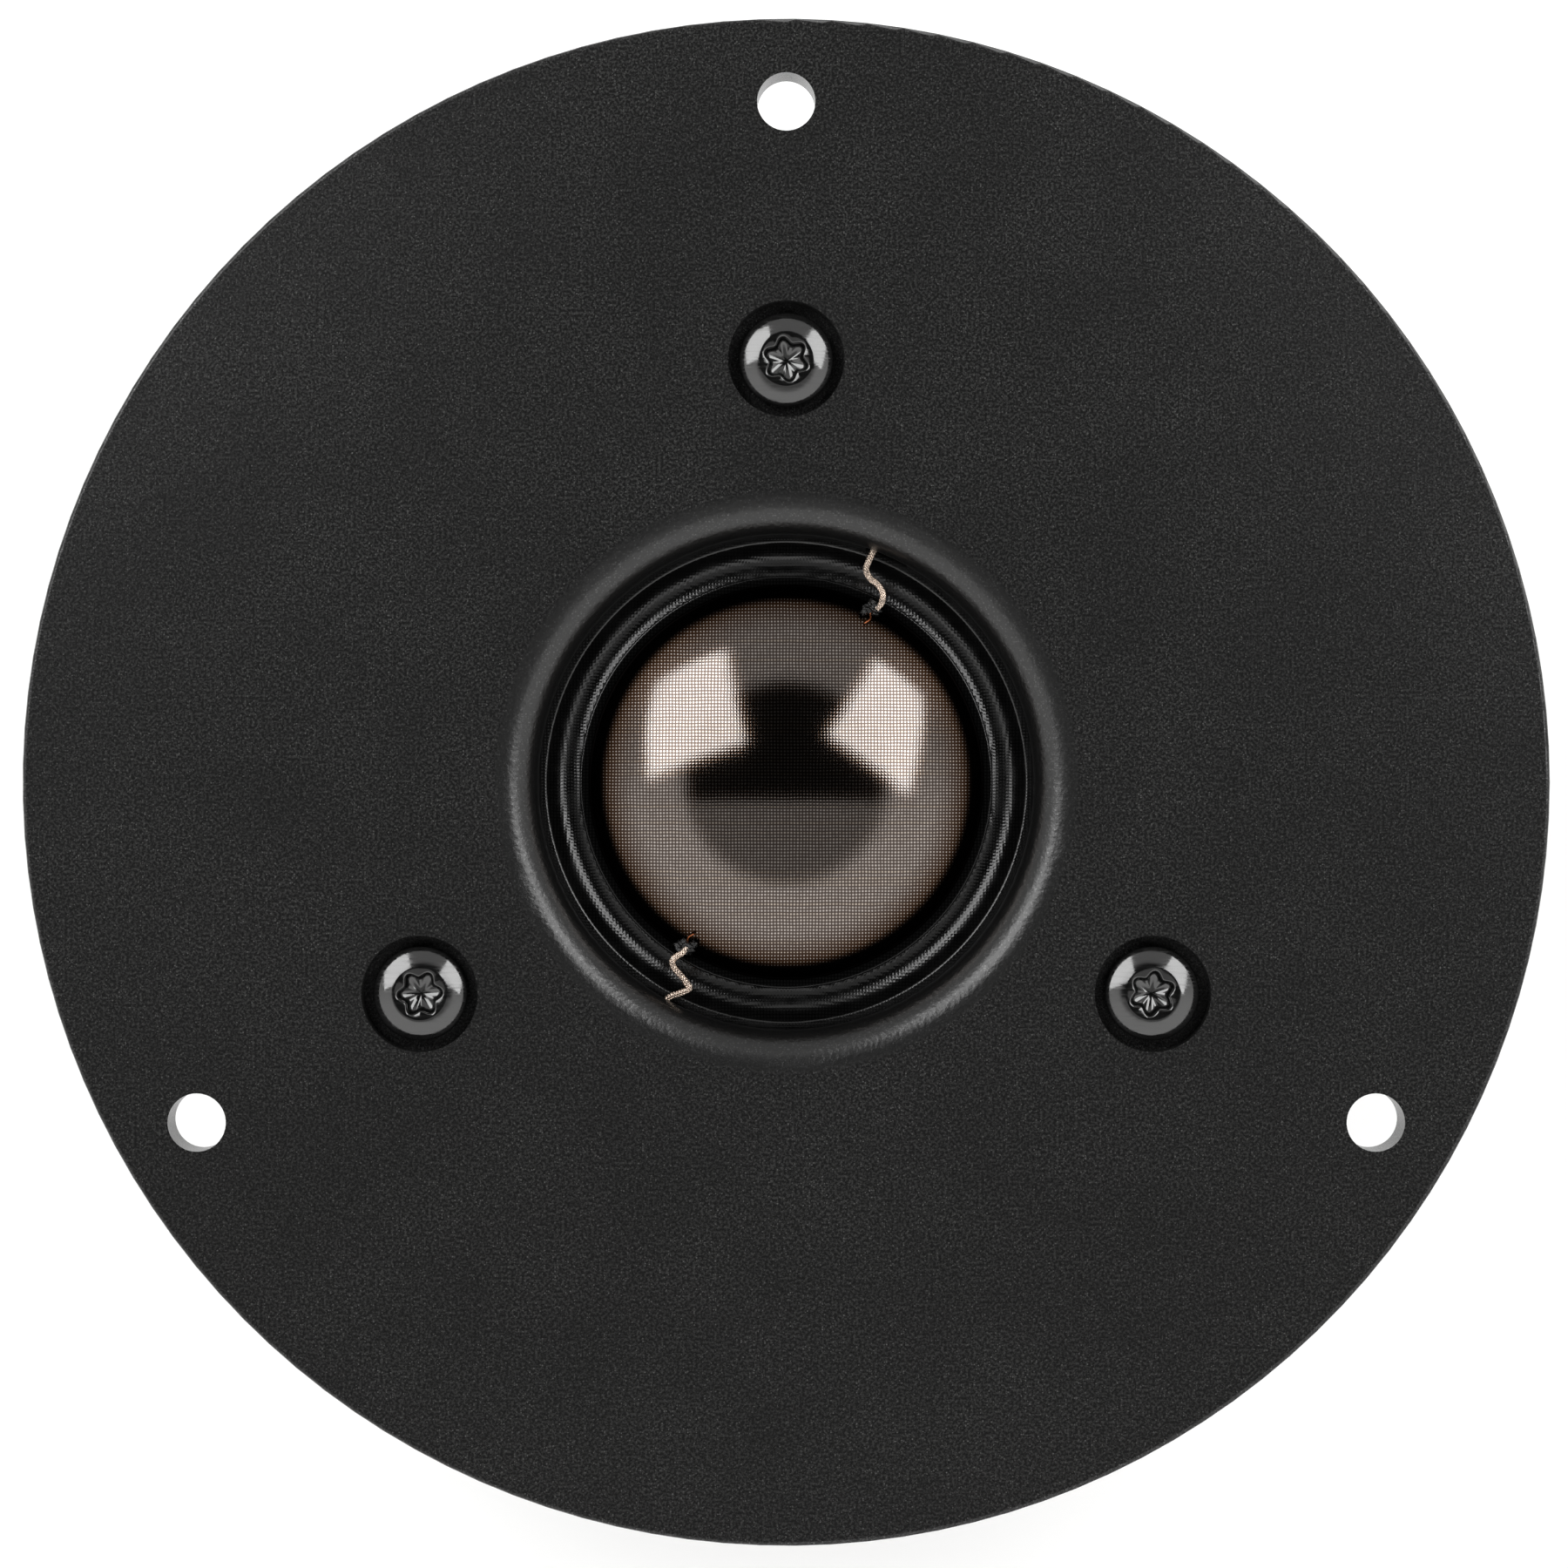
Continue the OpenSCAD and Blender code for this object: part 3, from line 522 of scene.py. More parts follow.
# %% [markdown]
# ## Tinsel and glue
# A voice-coil lead must bend millions of times, so it is a braid of thin copper foil, here
# silvered with a warm cast. The glue dabs at the dome's rim are black and knobbly, and catch
# a few sharp sparks.

# %% Their finishes
finishes["tinsel"] = plated("tinsel_foil", (0.90, 0.74, 0.62), 0.17, 4.0, 0.012, 0.14)
glue, tree, shader = new_finish("glue", (0.002, 0.002, 0.002), 0.10, Specular_IOR_Level=0.35)
here = in_mm(tree)
lumps = cloud(here, 4.0, 3, 0.6)
relief(shader, lumps, 0.12)
tint(shader, remap(lumps, 0.4, 0.7), (0.001, 0.001, 0.001), (0.004, 0.004, 0.004))
finishes["glue_black"] = glue
print("finishes:", len(finishes))

# %% Dress every CAD node in its slot's finish
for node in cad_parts.values():
    for slot in node.material_slots:
        slot.material = finishes[slot.material.name]
print("dressed:", len(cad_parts), "nodes")

# %% [markdown]
# ## Helpers for pieces
# A finished piece is a plain mesh with its place in its vertices. Shapes of revolution come
# from one outline, given as radius and height in millimetres and turned round the axis.
# Points on the axis become one shared pole, so nothing is left open.

# %% Turn an outline into a closed shell
def new_piece(name, mesh, *replaced):
    piece = bpy.data.objects.new(name, mesh)
    scene.collection.objects.link(piece)
    for polygon in mesh.polygons:
        polygon.use_smooth = True
    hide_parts(*replaced)
    return piece


def add_ring(shell, height, radius_at, steps):
    """Vertices of one ring; radius_at gives the radius in millimetres at an angle."""
    angles = [2 * math.pi * k / steps for k in range(steps)]
    return [shell.verts.new((radius_at(a) * MM * math.cos(a), radius_at(a) * MM * math.sin(a),
                             height * MM)) for a in angles]


def skin(shell, rings, steps, name):
    """A mesh with faces between each ring and the next; a ring of one vertex is a pole."""
    for low, high in zip(rings, rings[1:]):
        if len(low) == len(high) == 1:
            continue
        for k in range(steps):
            after = (k + 1) % steps
            corners = [low[k % len(low)], low[after % len(low)],
                       high[after % len(high)], high[k % len(high)]]
            shell.faces.new(list(dict.fromkeys(corners)))
    bmesh.ops.recalc_face_normals(shell, faces=shell.faces)
    mesh = bpy.data.meshes.new(name)
    shell.to_mesh(mesh)
    shell.free()
    return mesh


def turn(outline, steps=192):
    """Faces of a closed outline of (radius, height) points, turned once round the axis."""
    shell = bmesh.new()
    rings = []
    for radius, height in outline:
        if radius < 1e-6:
            rings.append([shell.verts.new((0, 0, height * MM))])
        else:
            rings.append(add_ring(shell, height, lambda angle: radius, steps))
    return skin(shell, rings + rings[:1], steps, "turned")


def arc(centre_r, centre_z, radius, start, stop, count):
    """Points on an arc of the outline; angles in degrees, from +radius toward +height."""
    angles = [math.radians(start + (stop - start) * i / count) for i in range(count + 1)]
    return [(centre_r + radius * math.cos(a), centre_z + radius * math.sin(a)) for a in angles]


def rounded(corners, radius, count=5):
    """An outline with every corner rounded, as a quadratic curve between two nearby points."""
    points = []
    for i, corner in enumerate(corners):
        here = Vector(corner)
        before, after = Vector(corners[i - 1]), Vector(corners[(i + 1) % len(corners)])
        reach_b = min(radius, (before - here).length * 0.45)
        reach_a = min(radius, (after - here).length * 0.45)
        start = here + (before - here).normalized() * reach_b
        stop = here + (after - here).normalized() * reach_a
        for k in range(count + 1):
            t = k / count
            points.append(tuple(start * (1 - t) ** 2 + here * 2 * t * (1 - t) + stop * t * t))
    return points


def give(piece, slot):
    piece.data.materials.clear()
    piece.data.materials.append(finishes[slot])


# %% [markdown]
# ## Helpers for Geometry Nodes
# Each tree names its sizes as inputs, so that the same tree can be tried with other sizes. A
# tree ends by making instances real and setting the material. The result is then copied out
# as a plain mesh, and the modifier goes away with the object that carried it. Wires, strands
# and hairs are all a round section swept along a curve, so that is one helper too.

# %% A tree with named inputs, and a way to run it
SOCKET_KINDS = {"number": "NodeSocketFloat", "count": "NodeSocketInt",
                "object": "NodeSocketObject", "finish": "NodeSocketMaterial"}


def new_tree(name, **inputs):
    tree = bpy.data.node_groups.new(name, "GeometryNodeTree")
    tree.interface.new_socket("Geometry", in_out="INPUT", socket_type="NodeSocketGeometry")
    for label, kind in inputs.items():
        tree.interface.new_socket(label.replace("_", " "), in_out="INPUT",
                                  socket_type=SOCKET_KINDS[kind])
    tree.interface.new_socket("Geometry", in_out="OUTPUT", socket_type="NodeSocketGeometry")
    return tree, add(tree, "NodeGroupInput").outputs


def swept(tree, curve, radius, sides):
    section = add(tree, "GeometryNodeCurvePrimitiveCircle", {"Resolution": sides, "Radius": radius})
    return add(tree, "GeometryNodeCurveToMesh", {
        "Curve": curve, "Profile Curve": section.outputs[0], "Fill Caps": True}).outputs[0]


def close_tree(tree, geometry, finish):
    real = add(tree, "GeometryNodeRealizeInstances", {0: geometry}).outputs[0]
    smooth = add(tree, "GeometryNodeSetShadeSmooth", {0: real}).outputs[0]
    coated = add(tree, "GeometryNodeSetMaterial", {"Geometry": smooth, "Material": finish})
    add(tree, "NodeGroupOutput", {0: coated.outputs[0]})


def run_tree(tree, carrier, **values):
    """The mesh that the tree makes on a carrier object, which is removed afterwards."""
    modifier = carrier.modifiers.new("shape", "NODES")
    modifier.node_group = tree
    sockets = {s.name: s.identifier for s in tree.interface.items_tree if s.in_out == "INPUT"}
    for label, value in values.items():
        modifier[sockets[label.replace("_", " ")]] = value
    bpy.context.view_layer.update()
    evaluated = carrier.evaluated_get(bpy.context.evaluated_depsgraph_get())
    mesh = bpy.data.meshes.new_from_object(evaluated)
    data = carrier.data
    bpy.data.objects.remove(carrier)
    (bpy.data.curves if isinstance(data, bpy.types.Curve) else bpy.data.meshes).remove(data)
    return mesh


def bare_carrier():
    carrier = bpy.data.objects.new("carrier", bpy.data.meshes.new("carrier"))
    scene.collection.objects.link(carrier)
    return carrier


# %% [markdown]
# ## The dome
# The dome is a cap of a sphere of 25 mm radius with a small flat foot, pressed from one piece
# of cloth. It follows a rule, so Geometry Nodes can make it from a grid: one side of the grid
# runs from the pole to the foot, the other runs once round the axis. Then the seam and the pole
# are merged, and the cloth gets its thickness with a Solidify modifier.

# %% Dome cap
dome_low, dome_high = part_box("dome")
sphere_r = 25 * MM
rim_r = 14.3 * MM
cloth_t = 0.25 * MM
foot_w = 0.44 * MM
foot_z = dome_low.z + cloth_t
cap_share = 0.94
tree, given = new_tree("pressed_dome", Sphere_radius="number", Rim_radius="number",
                       Top_height="number", Foot_height="number", Foot_width="number",
                       Rings="count", Steps="count", Finish="finish")
grid = add(tree, "GeometryNodeMeshGrid", {
    "Size X": 1.0, "Size Y": 1.0, "Vertices X": given["Rings"],
    "Vertices Y": given["Steps"]}).outputs["Mesh"]
place = add(tree, "GeometryNodeInputPosition").outputs[0]
u, v, _ = axes(place)
along = maths("ADD", u, 0.5)
share = remap(along, 0.0, cap_share)
past = remap(along, cap_share, 1.0)
rim_angle = maths("ARCSINE", maths("DIVIDE", given["Rim radius"], given["Sphere radius"]))
tilt = times(share, rim_angle)
radius = maths("MULTIPLY_ADD", past, given["Foot width"],
               times(maths("SINE", tilt), given["Sphere radius"]))
fall = times(maths("SUBTRACT", 1.0, maths("COSINE", tilt)),
             given["Sphere radius"])
height = maths("MAXIMUM", maths("SUBTRACT", given["Top height"], fall),
               given["Foot height"])
turned_by = times(v, 2 * math.pi)
spot = xyz(X=times(radius, maths("COSINE", turned_by)),
           Y=times(radius, maths("SINE", turned_by)), Z=height)
bent = add(tree, "GeometryNodeSetPosition", {"Geometry": grid, "Position": spot}).outputs[0]
closed = add(tree, "GeometryNodeMergeByDistance", {
    "Geometry": bent, "Distance": 0.01 * MM}).outputs[0]
close_tree(tree, closed, given["Finish"])
cap_mesh = run_tree(tree, bare_carrier(), Sphere_radius=sphere_r, Rim_radius=rim_r,
                    Top_height=dome_high.z, Foot_height=foot_z, Foot_width=foot_w,
                    Rings=84, Steps=241, Finish=finishes["dome_cloth"])
dome = new_piece("dome_cap", cap_mesh, "dome")
shell = bmesh.new()
shell.from_mesh(cap_mesh)
bmesh.ops.recalc_face_normals(shell, faces=shell.faces)
if sum(f.normal.z * f.calc_area() for f in shell.faces) < 0:
    bmesh.ops.reverse_faces(shell, faces=shell.faces)
shell.to_mesh(cap_mesh)
shell.free()
thick = dome.modifiers.new("cloth thickness", "SOLIDIFY")
thick.thickness = cloth_t
thick.offset = -1
give(dome, "dome_cloth")
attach(dome, "diaphragm")
print("dome:", len(cap_mesh.polygons), "faces, top at", round(dome_high.z / MM, 2), "mm")

# %% [markdown]
# ## The surround
# The surround is one strip of coated cloth: a foot glued under the dome's rim, an upright
# wall, a round sunk floor, a wall that leans out to a shoulder, and a seat glued on the ring.
# It flexes, so it is a mesh that blends from the fixed chassis to the moving dome.

# %% Surround strip
seat_z = 0.9
seat_r = 19.98
foot_bottom_z = 1.17
cloth_mm = 0.25
dome_rim_mm = 14.3
lean = 50
inner_lean = 26
floor_r = 1.8
depth = 1.18
wall_r = dome_rim_mm + 0.6
mid_r = wall_r + floor_r * math.sin(math.radians(inner_lean))
wall_rise = depth - floor_r * (1 - math.cos(math.radians(lean)))
shoulder_r = (mid_r + floor_r * math.sin(math.radians(lean))
              + wall_rise / math.tan(math.radians(lean)))
middle_z = seat_z + cloth_mm / 2
foot_middle_z = foot_bottom_z + cloth_mm / 2
floor_z = middle_z - depth
floor_angles = [math.radians(a) for a in range(-inner_lean, lean + 1, 4)]
bends = ([(dome_rim_mm + 0.06, foot_middle_z), (dome_rim_mm + 0.2, foot_middle_z),
          (wall_r, foot_middle_z), (wall_r, floor_z + 0.5 * depth)]
         + [(mid_r + floor_r * math.sin(a), floor_z + floor_r * (1 - math.cos(a)))
            for a in floor_angles]
         + [(shoulder_r, middle_z), (seat_r, middle_z)])


def eased(points, reach, count=6):
    """An open line whose inner corners are rounded."""
    loop = rounded(points, reach, count)
    return [points[0]] + loop[count + 1:-(count + 1)] + [points[-1]]


def strip_outline(line, thickness, feather=0.3):
    """Both faces of a strip; its inner end is feathered down onto the dome's foot."""
    upper, lower = [], []
    for i, point in enumerate(line):
        ahead = Vector(line[min(i + 1, len(line) - 1)]) - Vector(line[max(i - 1, 0)])
        side = Vector((-ahead.y, ahead.x)).normalized() * thickness / 2
        share = min(1, 0.2 + (Vector(point) - Vector(line[0])).length / feather)
        upper.append(tuple(Vector(point) + side * (2 * share - 1)))
        lower.append(tuple(Vector(point) - side))
    return upper + lower[::-1]


surround_mesh = turn(strip_outline(eased(bends, 0.06), cloth_mm - 0.02), 240)
surround = new_piece("surround_strip", surround_mesh, "surround")
give(surround, "surround_cloth")


def blend_outward(piece, fixed_r, moving_r):
    """Points outside fixed_r stay with the chassis, points inside moving_r go with the dome."""
    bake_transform(piece, "chassis", "diaphragm", start=(fixed_r * MM, 0, 0), end=(moving_r * MM, 0, 0))
    weights = piece.data.attributes["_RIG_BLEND"].data
    for vertex, weight in zip(piece.data.vertices, weights):
        t = (fixed_r - vertex.co.xy.length / MM) / (fixed_r - moving_r)
        t = min(max(t, 0), 1)
        weight.value = t * t * (3 - 2 * t)


strip_fixed_r, strip_moving_r = 17.4, 15.0
blend_outward(surround, strip_fixed_r, strip_moving_r)
print("surround: floor at radius", round(mid_r, 2), "mm, shoulder at", round(shoulder_r, 2), "mm")

# %% [markdown]
# ## Flange screws
# Three black pan heads hold the flange. A pan head is turned: a flat rim, a wide shallow
# crown and a small bevel round the recess. The six-lobe recess is cut with a punch, so its
# walls are upright and its floor is a shallow point. A screw head is built once, ring by
# ring, and Geometry Nodes sets three of them round the axis, each turned as it was driven.

# %% One screw
def lobed(radius_out, radius_in, angle):
    """Radius of a six-lobe outline at an angle, with round lobes and round hollows."""
    wave = (1 + math.cos(6 * angle)) / 2
    return radius_in + (radius_out - radius_in) * wave ** 0.85


def screw_mesh(head_r, head_h, shank_r, shank_l, lobe, root, depth, steps=72):
    thread_mm, crown_rings = 0.7, 14
    crown_r = head_r * 2.05
    flat_r = lobe + 0.36
    edge_r = head_r - 0.04
    top_of = math.sqrt(crown_r ** 2 - flat_r ** 2)
    edge_z = head_h - top_of + math.sqrt(crown_r ** 2 - edge_r ** 2)
    profile = [(shank_r * 0.55, -shank_l)]
    for i in range(int(shank_l / thread_mm)):
        z = -shank_l + thread_mm / 2 + i * thread_mm
        profile += [(shank_r, z), (shank_r, z + 0.12), (shank_r * 0.84, z + 0.35)]
    profile += [(shank_r, -0.05), (shank_r, 0), (head_r - 0.06, 0), (head_r, 0.05),
                (head_r, edge_z - 0.12), (head_r, edge_z - 0.06), (edge_r, edge_z)]
    for i in range(1, crown_rings + 1):
        r = edge_r - (edge_r - flat_r) * i / crown_rings
        profile.append((r, head_h - top_of + math.sqrt(crown_r ** 2 - r ** 2)))
    profile += [(flat_r - 0.05, head_h + 0.01), (flat_r - 0.1, head_h + 0.01)]
    lobes = [(1.10, head_h + 0.005), (1.04, head_h - 0.03), (1.0, head_h - 0.14),
             (0.985, head_h - depth + 0.28), (0.90, head_h - depth + 0.10),
             (0.78, head_h - depth), (0.40, head_h - depth - 0.16)]
    shell = bmesh.new()
    loops = [[shell.verts.new((0, 0, -shank_l * MM))]]
    loops += [add_ring(shell, z, lambda angle: r, steps) for r, z in profile]
    loops += [add_ring(shell, z, lambda angle: lobed(lobe, root, angle) * share, steps)
              for share, z in lobes]
    loops.append([shell.verts.new((0, 0, (head_h - depth - 0.34) * MM))])
    return skin(shell, loops, steps, "screw")


# %% Three screws round the axis
_, screw_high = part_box("faceplate_screws")
screw_circle = 30.5
head_mm = 2.4
screw_seat = screw_high.z / MM - head_mm
one_screw = bpy.data.objects.new("one_screw", screw_mesh(
    head_r=3.4, head_h=head_mm, shank_r=1.73, shank_l=8.7, lobe=1.63, root=1.2, depth=1.5))
scene.collection.objects.link(one_screw)
tree, given = new_tree("screws_in_threes", Screw="object", Circle_radius="number",
                       Seat_height="number", First_angle="number", Turn_one="number",
                       Turn_two="number", Turn_three="number", Finish="finish")
circle = add(tree, "GeometryNodeMeshCircle", {
    "Vertices": 3, "Radius": given["Circle radius"]}).outputs[0]
circle = add(tree, "GeometryNodeTransform", {
    "Geometry": circle, "Translation": xyz(Z=given["Seat height"]),
    "Rotation": xyz(Z=given["First angle"])}).outputs[0]
index = add(tree, "GeometryNodeInputIndex").outputs[0]
chosen = add(tree, "GeometryNodeIndexSwitch", {"Index": index}, data_type="FLOAT")
chosen.index_switch_items.new()
for slot, label in enumerate(("Turn one", "Turn two", "Turn three")):
    tree.links.new(given[label], chosen.inputs[slot + 1])
total = maths("ADD", chosen.outputs[0],
              maths("MULTIPLY_ADD", index, 2 * math.pi / 3, given["First angle"]))
shape = add(tree, "GeometryNodeObjectInfo", {"Object": given["Screw"]}).outputs["Geometry"]
placed = add(tree, "GeometryNodeInstanceOnPoints", {
    "Points": circle, "Instance": shape, "Rotation": xyz(Z=total)}).outputs[0]
close_tree(tree, placed, given["Finish"])
threes = run_tree(tree, bare_carrier(), Screw=one_screw, Circle_radius=screw_circle * MM,
                  Seat_height=screw_seat * MM, First_angle=math.radians(90),
                  Turn_one=math.radians(10), Turn_two=math.radians(34),
                  Turn_three=math.radians(52), Finish=finishes["screw_black"])
bpy.data.objects.remove(one_screw)
flange_screws = new_piece("flange_screws", threes, "faceplate_screws")
give(flange_screws, "screw_black")
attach(flange_screws, "chassis")
print("screws:", len(threes.polygons), "faces")

# %% [markdown]
# ## Braided leads
# Each lead is a braid: half of its strands wind one way round a soft core, the other half
# wind the other way, and they pass over and under each other. Geometry Nodes follow the
# lead's route, make one copy of the route for each strand, and push each copy off the middle
# by an angle that grows with the length. The real strands are flat foil; here each is a thin round section.

# %% Routes, as smooth lines
def smooth_line(points, count):
    """A Catmull-Rom line through the points, with count steps between two of them."""
    line = []
    last = len(points) - 1
    for i in range(last):
        p, q, r, s = (Vector(points[j]) for j in
                      (max(i - 1, 0), i, i + 1, min(i + 2, last)))
        for k in range(count):
            t = k / count
            line.append(0.5 * (2 * q + (r - p) * t + (2 * p - 5 * q + 4 * r - s) * t * t
                               + (3 * q - p - 3 * r + s) * t ** 3))
    return line + [Vector(points[last])]


def beside(angle, point):
    """Outward, sideways and height at an angle, as x, y and z."""
    c, s = math.cos(math.radians(angle)), math.sin(math.radians(angle))
    out, side, up = point
    return (out * c - side * s, out * s + side * c, up)


def route_carrier(lines):
    data = bpy.data.curves.new("route", "CURVE")
    data.dimensions = "3D"
    for line in lines:
        spline = data.splines.new("POLY")
        spline.points.add(len(line) - 1)
        for point, place in zip(spline.points, line):
            point.co = (*(Vector(place) * MM), 1)
    carrier = bpy.data.objects.new("route", data)
    scene.collection.objects.link(carrier)
    return carrier


lead_angles = (66, 241)
upper_route = [(23.2, .3, -.08), (22.3, .5, -.05), (21.4, .8, .5), (20.6, .95, 1.35),
               (19.6, 1, 1.6), (17.8, 1.04, 1.7), (17, 1.05, 1.95), (16.4, .95, 2.2),
               (15.95, .4, 2.3), (15.8, -.2, 2.3), (15.4, -.8, 2.25), (14.9, -1, 2.15),
               (14.5, -1, 2.05), (14, -.8, 1.95)]
lower_route = [(23.2, -.3, -.08), (22.3, -.4, -.05), (21.4, -.4, .5), (20.6, -.3, 1.35),
               (19.6, -.1, 1.6), (17.9, .1, 1.7), (17.1, .7, 1.95), (16.5, 1.1, 2.2),
               (16.2, .7, 2.3), (15.95, .1, 2.3), (15.7, -.6, 2.3), (15.3, -.95, 2.25),
               (14.85, -.8, 2.15), (14.5, -.6, 2.05), (14, -.5, 1.95)]

# %% The braid tree
tree, given = new_tree("braided_lead", Strands="count", Body_radius="number",
                       Strand_radius="number", Lay="number", Weave_depth="number",
                       Finish="finish")
fine = add(tree, "GeometryNodeResampleCurve", {
    "Curve": given["Geometry"], "Length": 0.07 * MM}, mode="LENGTH")
strands = add(tree, "GeometryNodeDuplicateElements", {
    "Geometry": fine.outputs[0], "Amount": given["Strands"]}, domain="SPLINE")
number = strands.outputs["Duplicate Index"]
way_round = maths("MULTIPLY_ADD", maths("MODULO", number, 2.0), 2.0, -1.0)
length = add(tree, "GeometryNodeSplineParameter").outputs["Length"]
wound = times(maths("DIVIDE", length, given["Lay"]), 2 * math.pi)
start = times(maths("DIVIDE", number, given["Strands"]), 2 * math.pi)
angle = maths("MULTIPLY_ADD", way_round, wound, start)
over = times(maths("SINE", times(angle, 4.0)), way_round)
reach = maths("MULTIPLY_ADD", over, given["Weave depth"], given["Body radius"])
tangent = add(tree, "GeometryNodeInputTangent").outputs[0]
normal = add(tree, "GeometryNodeInputNormal").outputs[0]
third = add(tree, "ShaderNodeVectorMath", {0: tangent, 1: normal},
            operation="CROSS_PRODUCT").outputs[0]
first_part, second_part = (
    add(tree, "ShaderNodeVectorMath", {
        0: across, "Scale": times(reach, maths(wave, angle))},
        operation="SCALE").outputs[0]
    for across, wave in ((normal, "COSINE"), (third, "SINE")))
push = add(tree, "ShaderNodeVectorMath", {0: first_part, 1: second_part}).outputs[0]
laid = add(tree, "GeometryNodeSetPosition", {
    "Geometry": strands.outputs["Geometry"], "Offset": push}).outputs[0]
close_tree(tree, swept(tree, laid, given["Strand radius"], 6), given["Finish"])

# %% Two leads, bending between the chassis and the dome
braid_fixed_r, braid_moving_r = 17.6, 14.6
for name, node, angle_here, route in (
        ("upper_braid", "tinsel_lead_upper", lead_angles[0], upper_route),
        ("lower_braid", "tinsel_lead_lower", lead_angles[1], lower_route)):
    line = smooth_line([beside(angle_here, p) for p in route], 8)
    mesh = run_tree(tree, route_carrier([line]), Strands=12, Body_radius=0.19 * MM,
                    Strand_radius=0.042 * MM, Lay=1.3 * MM, Weave_depth=0.025 * MM,
                    Finish=finishes["tinsel"])
    braid = new_piece(name, mesh, node)
    give(braid, "tinsel")
    blend_outward(braid, braid_fixed_r, braid_moving_r)
    print(name, len(mesh.polygons), "faces")

# %% [markdown]
# ## Plain wires
# The insulated leads run from the lugs, round a channel behind the flange and out to the
# terminals. The coil's own ends climb its tube and lie over the dome's rim. Each is a round
# section swept along its route, with the same small tree for all of them. A coil end lies on
# the dome, so its last points are worked out from the dome's sphere.

# %% The wire tree
wire_tree, given = new_tree("round_wire", Wire_radius="number", Sides="count", Finish="finish")
wire = swept(wire_tree, given["Geometry"], given["Wire radius"], given["Sides"])
close_tree(wire_tree, wire, given["Finish"])

# %% Insulated leads
ring_out_r, pocket_r, channel_r, motor_r = 25.8, 27.9, 26.85, 36.0
channel_z, tab_x, tab_y = -2.1, 4.5, -38.4
solder_out = 24.25


def around(radius, angle, height):
    return (radius * math.cos(math.radians(angle)), radius * math.sin(math.radians(angle)), height)


def lead_route(angle, bend_angles, side):
    start = [beside(angle, p) for p in ((solder_out, 0, .15), (ring_out_r - .3, 0, .25),
                                        (ring_out_r + .7, 0, -.35))]
    middle = [around(channel_r, angle - side * 3, -1.3)]
    middle += [around(channel_r, b, channel_z) for b in bend_angles]
    end = [(side * x, -y, z) for x, y, z in
           ((2.3, pocket_r - .4, -1.9), (1.4, pocket_r + 1.7, -1.65), (1.4, motor_r - 3, -1.6),
            (1.6, motor_r, -1.6), (2.8, motor_r + 1.4, -1.6), (tab_x - .2, -tab_y - .2, -1.65))]
    return smooth_line(start + middle + end, 8)


for name, node, slot, line in (
        ("red_lead", "lead_wire_positive", "wire_red",
         lead_route(lead_angles[0], [*range(58, -75, -12), -79], 1)),
        ("black_lead", "lead_wire_negative", "wire_black",
         lead_route(lead_angles[1], [249, 255, 259], -1))):
    mesh = run_tree(wire_tree, route_carrier([line]), Wire_radius=0.5 * MM, Sides=16,
                    Finish=finishes[slot])
    wire = new_piece(name, mesh, node)
    give(wire, slot)
    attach(wire, "chassis")
    length_mm = sum((b - a).length for a, b in zip(line, line[1:]))
    print(name, round(length_mm, 1), "mm long")

# %% Coil ends
tail_out, tail_side, tail_r = 14.62, -0.65, 0.09
sphere_mm = sphere_r / MM
dome_centre_z = dome_high.z / MM - sphere_mm


def on_dome(out_mm, side_mm):
    """The place of a coil end's middle, a little above the cloth."""
    height = math.sqrt(sphere_mm ** 2 - out_mm ** 2 - side_mm ** 2)
    return (out_mm, side_mm, dome_centre_z + height + 2.5 * tail_r)


tail = [(tail_out, tail_side, z) for z in (-3.35, -1, 1.3)]
tail += [(tail_out - .07, tail_side, 1.6), (14.2, tail_side, 1.85)]
tail += [on_dome(dome_rim_mm - a, b) for a, b in ((.6, -.6), (1, -.75), (1.45, -.5))]
mesh = run_tree(wire_tree, route_carrier([smooth_line([beside(a, p) for p in tail], 6)
                                          for a in lead_angles]),
                Wire_radius=tail_r * MM, Sides=10, Finish=finishes["coil_wire"])
tails = new_piece("coil_ends", mesh, "coil_tails")
give(tails, "coil_wire")
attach(tails, "diaphragm")
print("coil ends:", len(mesh.polygons), "faces")

# %% [markdown]
# ## The coil
# The voice coil is two layers of enamelled copper wire, wound side by side on the aluminium
# tube. A spiral with one turn for each wire's thickness is one layer, and the second layer
# lies on the first.

# %% Coil turns
coil_low, coil_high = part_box("voice_coil_winding")
layer_t = 0.175
turns = int((coil_high.z - coil_low.z) / MM / layer_t) - 1
tree, given = new_tree("coil_layers", First_radius="number", Layer_step="number",
                       Low="number", Height="number", Turns="number", Wire_radius="number",
                       Finish="finish")
layers = add(tree, "GeometryNodeJoinGeometry")
for layer in range(2):
    wound_r = maths("MULTIPLY_ADD", given["Layer step"], float(layer), given["First radius"])
    spiral = add(tree, "GeometryNodeCurveSpiral", {
        "Resolution": 64, "Rotations": given["Turns"], "Start Radius": wound_r,
        "End Radius": wound_r, "Height": given["Height"]}).outputs[0]
    tree.links.new(spiral, layers.inputs[0])
lifted = add(tree, "GeometryNodeTransform", {
    "Geometry": layers.outputs[0], "Translation": xyz(Z=given["Low"])}).outputs[0]
close_tree(tree, swept(tree, lifted, given["Wire radius"], 6), given["Finish"])
tube_mm, wire_mm = 14.5, 0.085
mesh = run_tree(tree, bare_carrier(), First_radius=(tube_mm + wire_mm + .003) * MM,
                Layer_step=0.172 * MM, Low=coil_low.z + wire_mm * MM,
                Height=coil_high.z - coil_low.z - 2 * wire_mm * MM, Turns=float(turns),
                Wire_radius=wire_mm * MM, Finish=finishes["coil_wire"])
coil = new_piece("coil_turns", mesh, "voice_coil_winding")
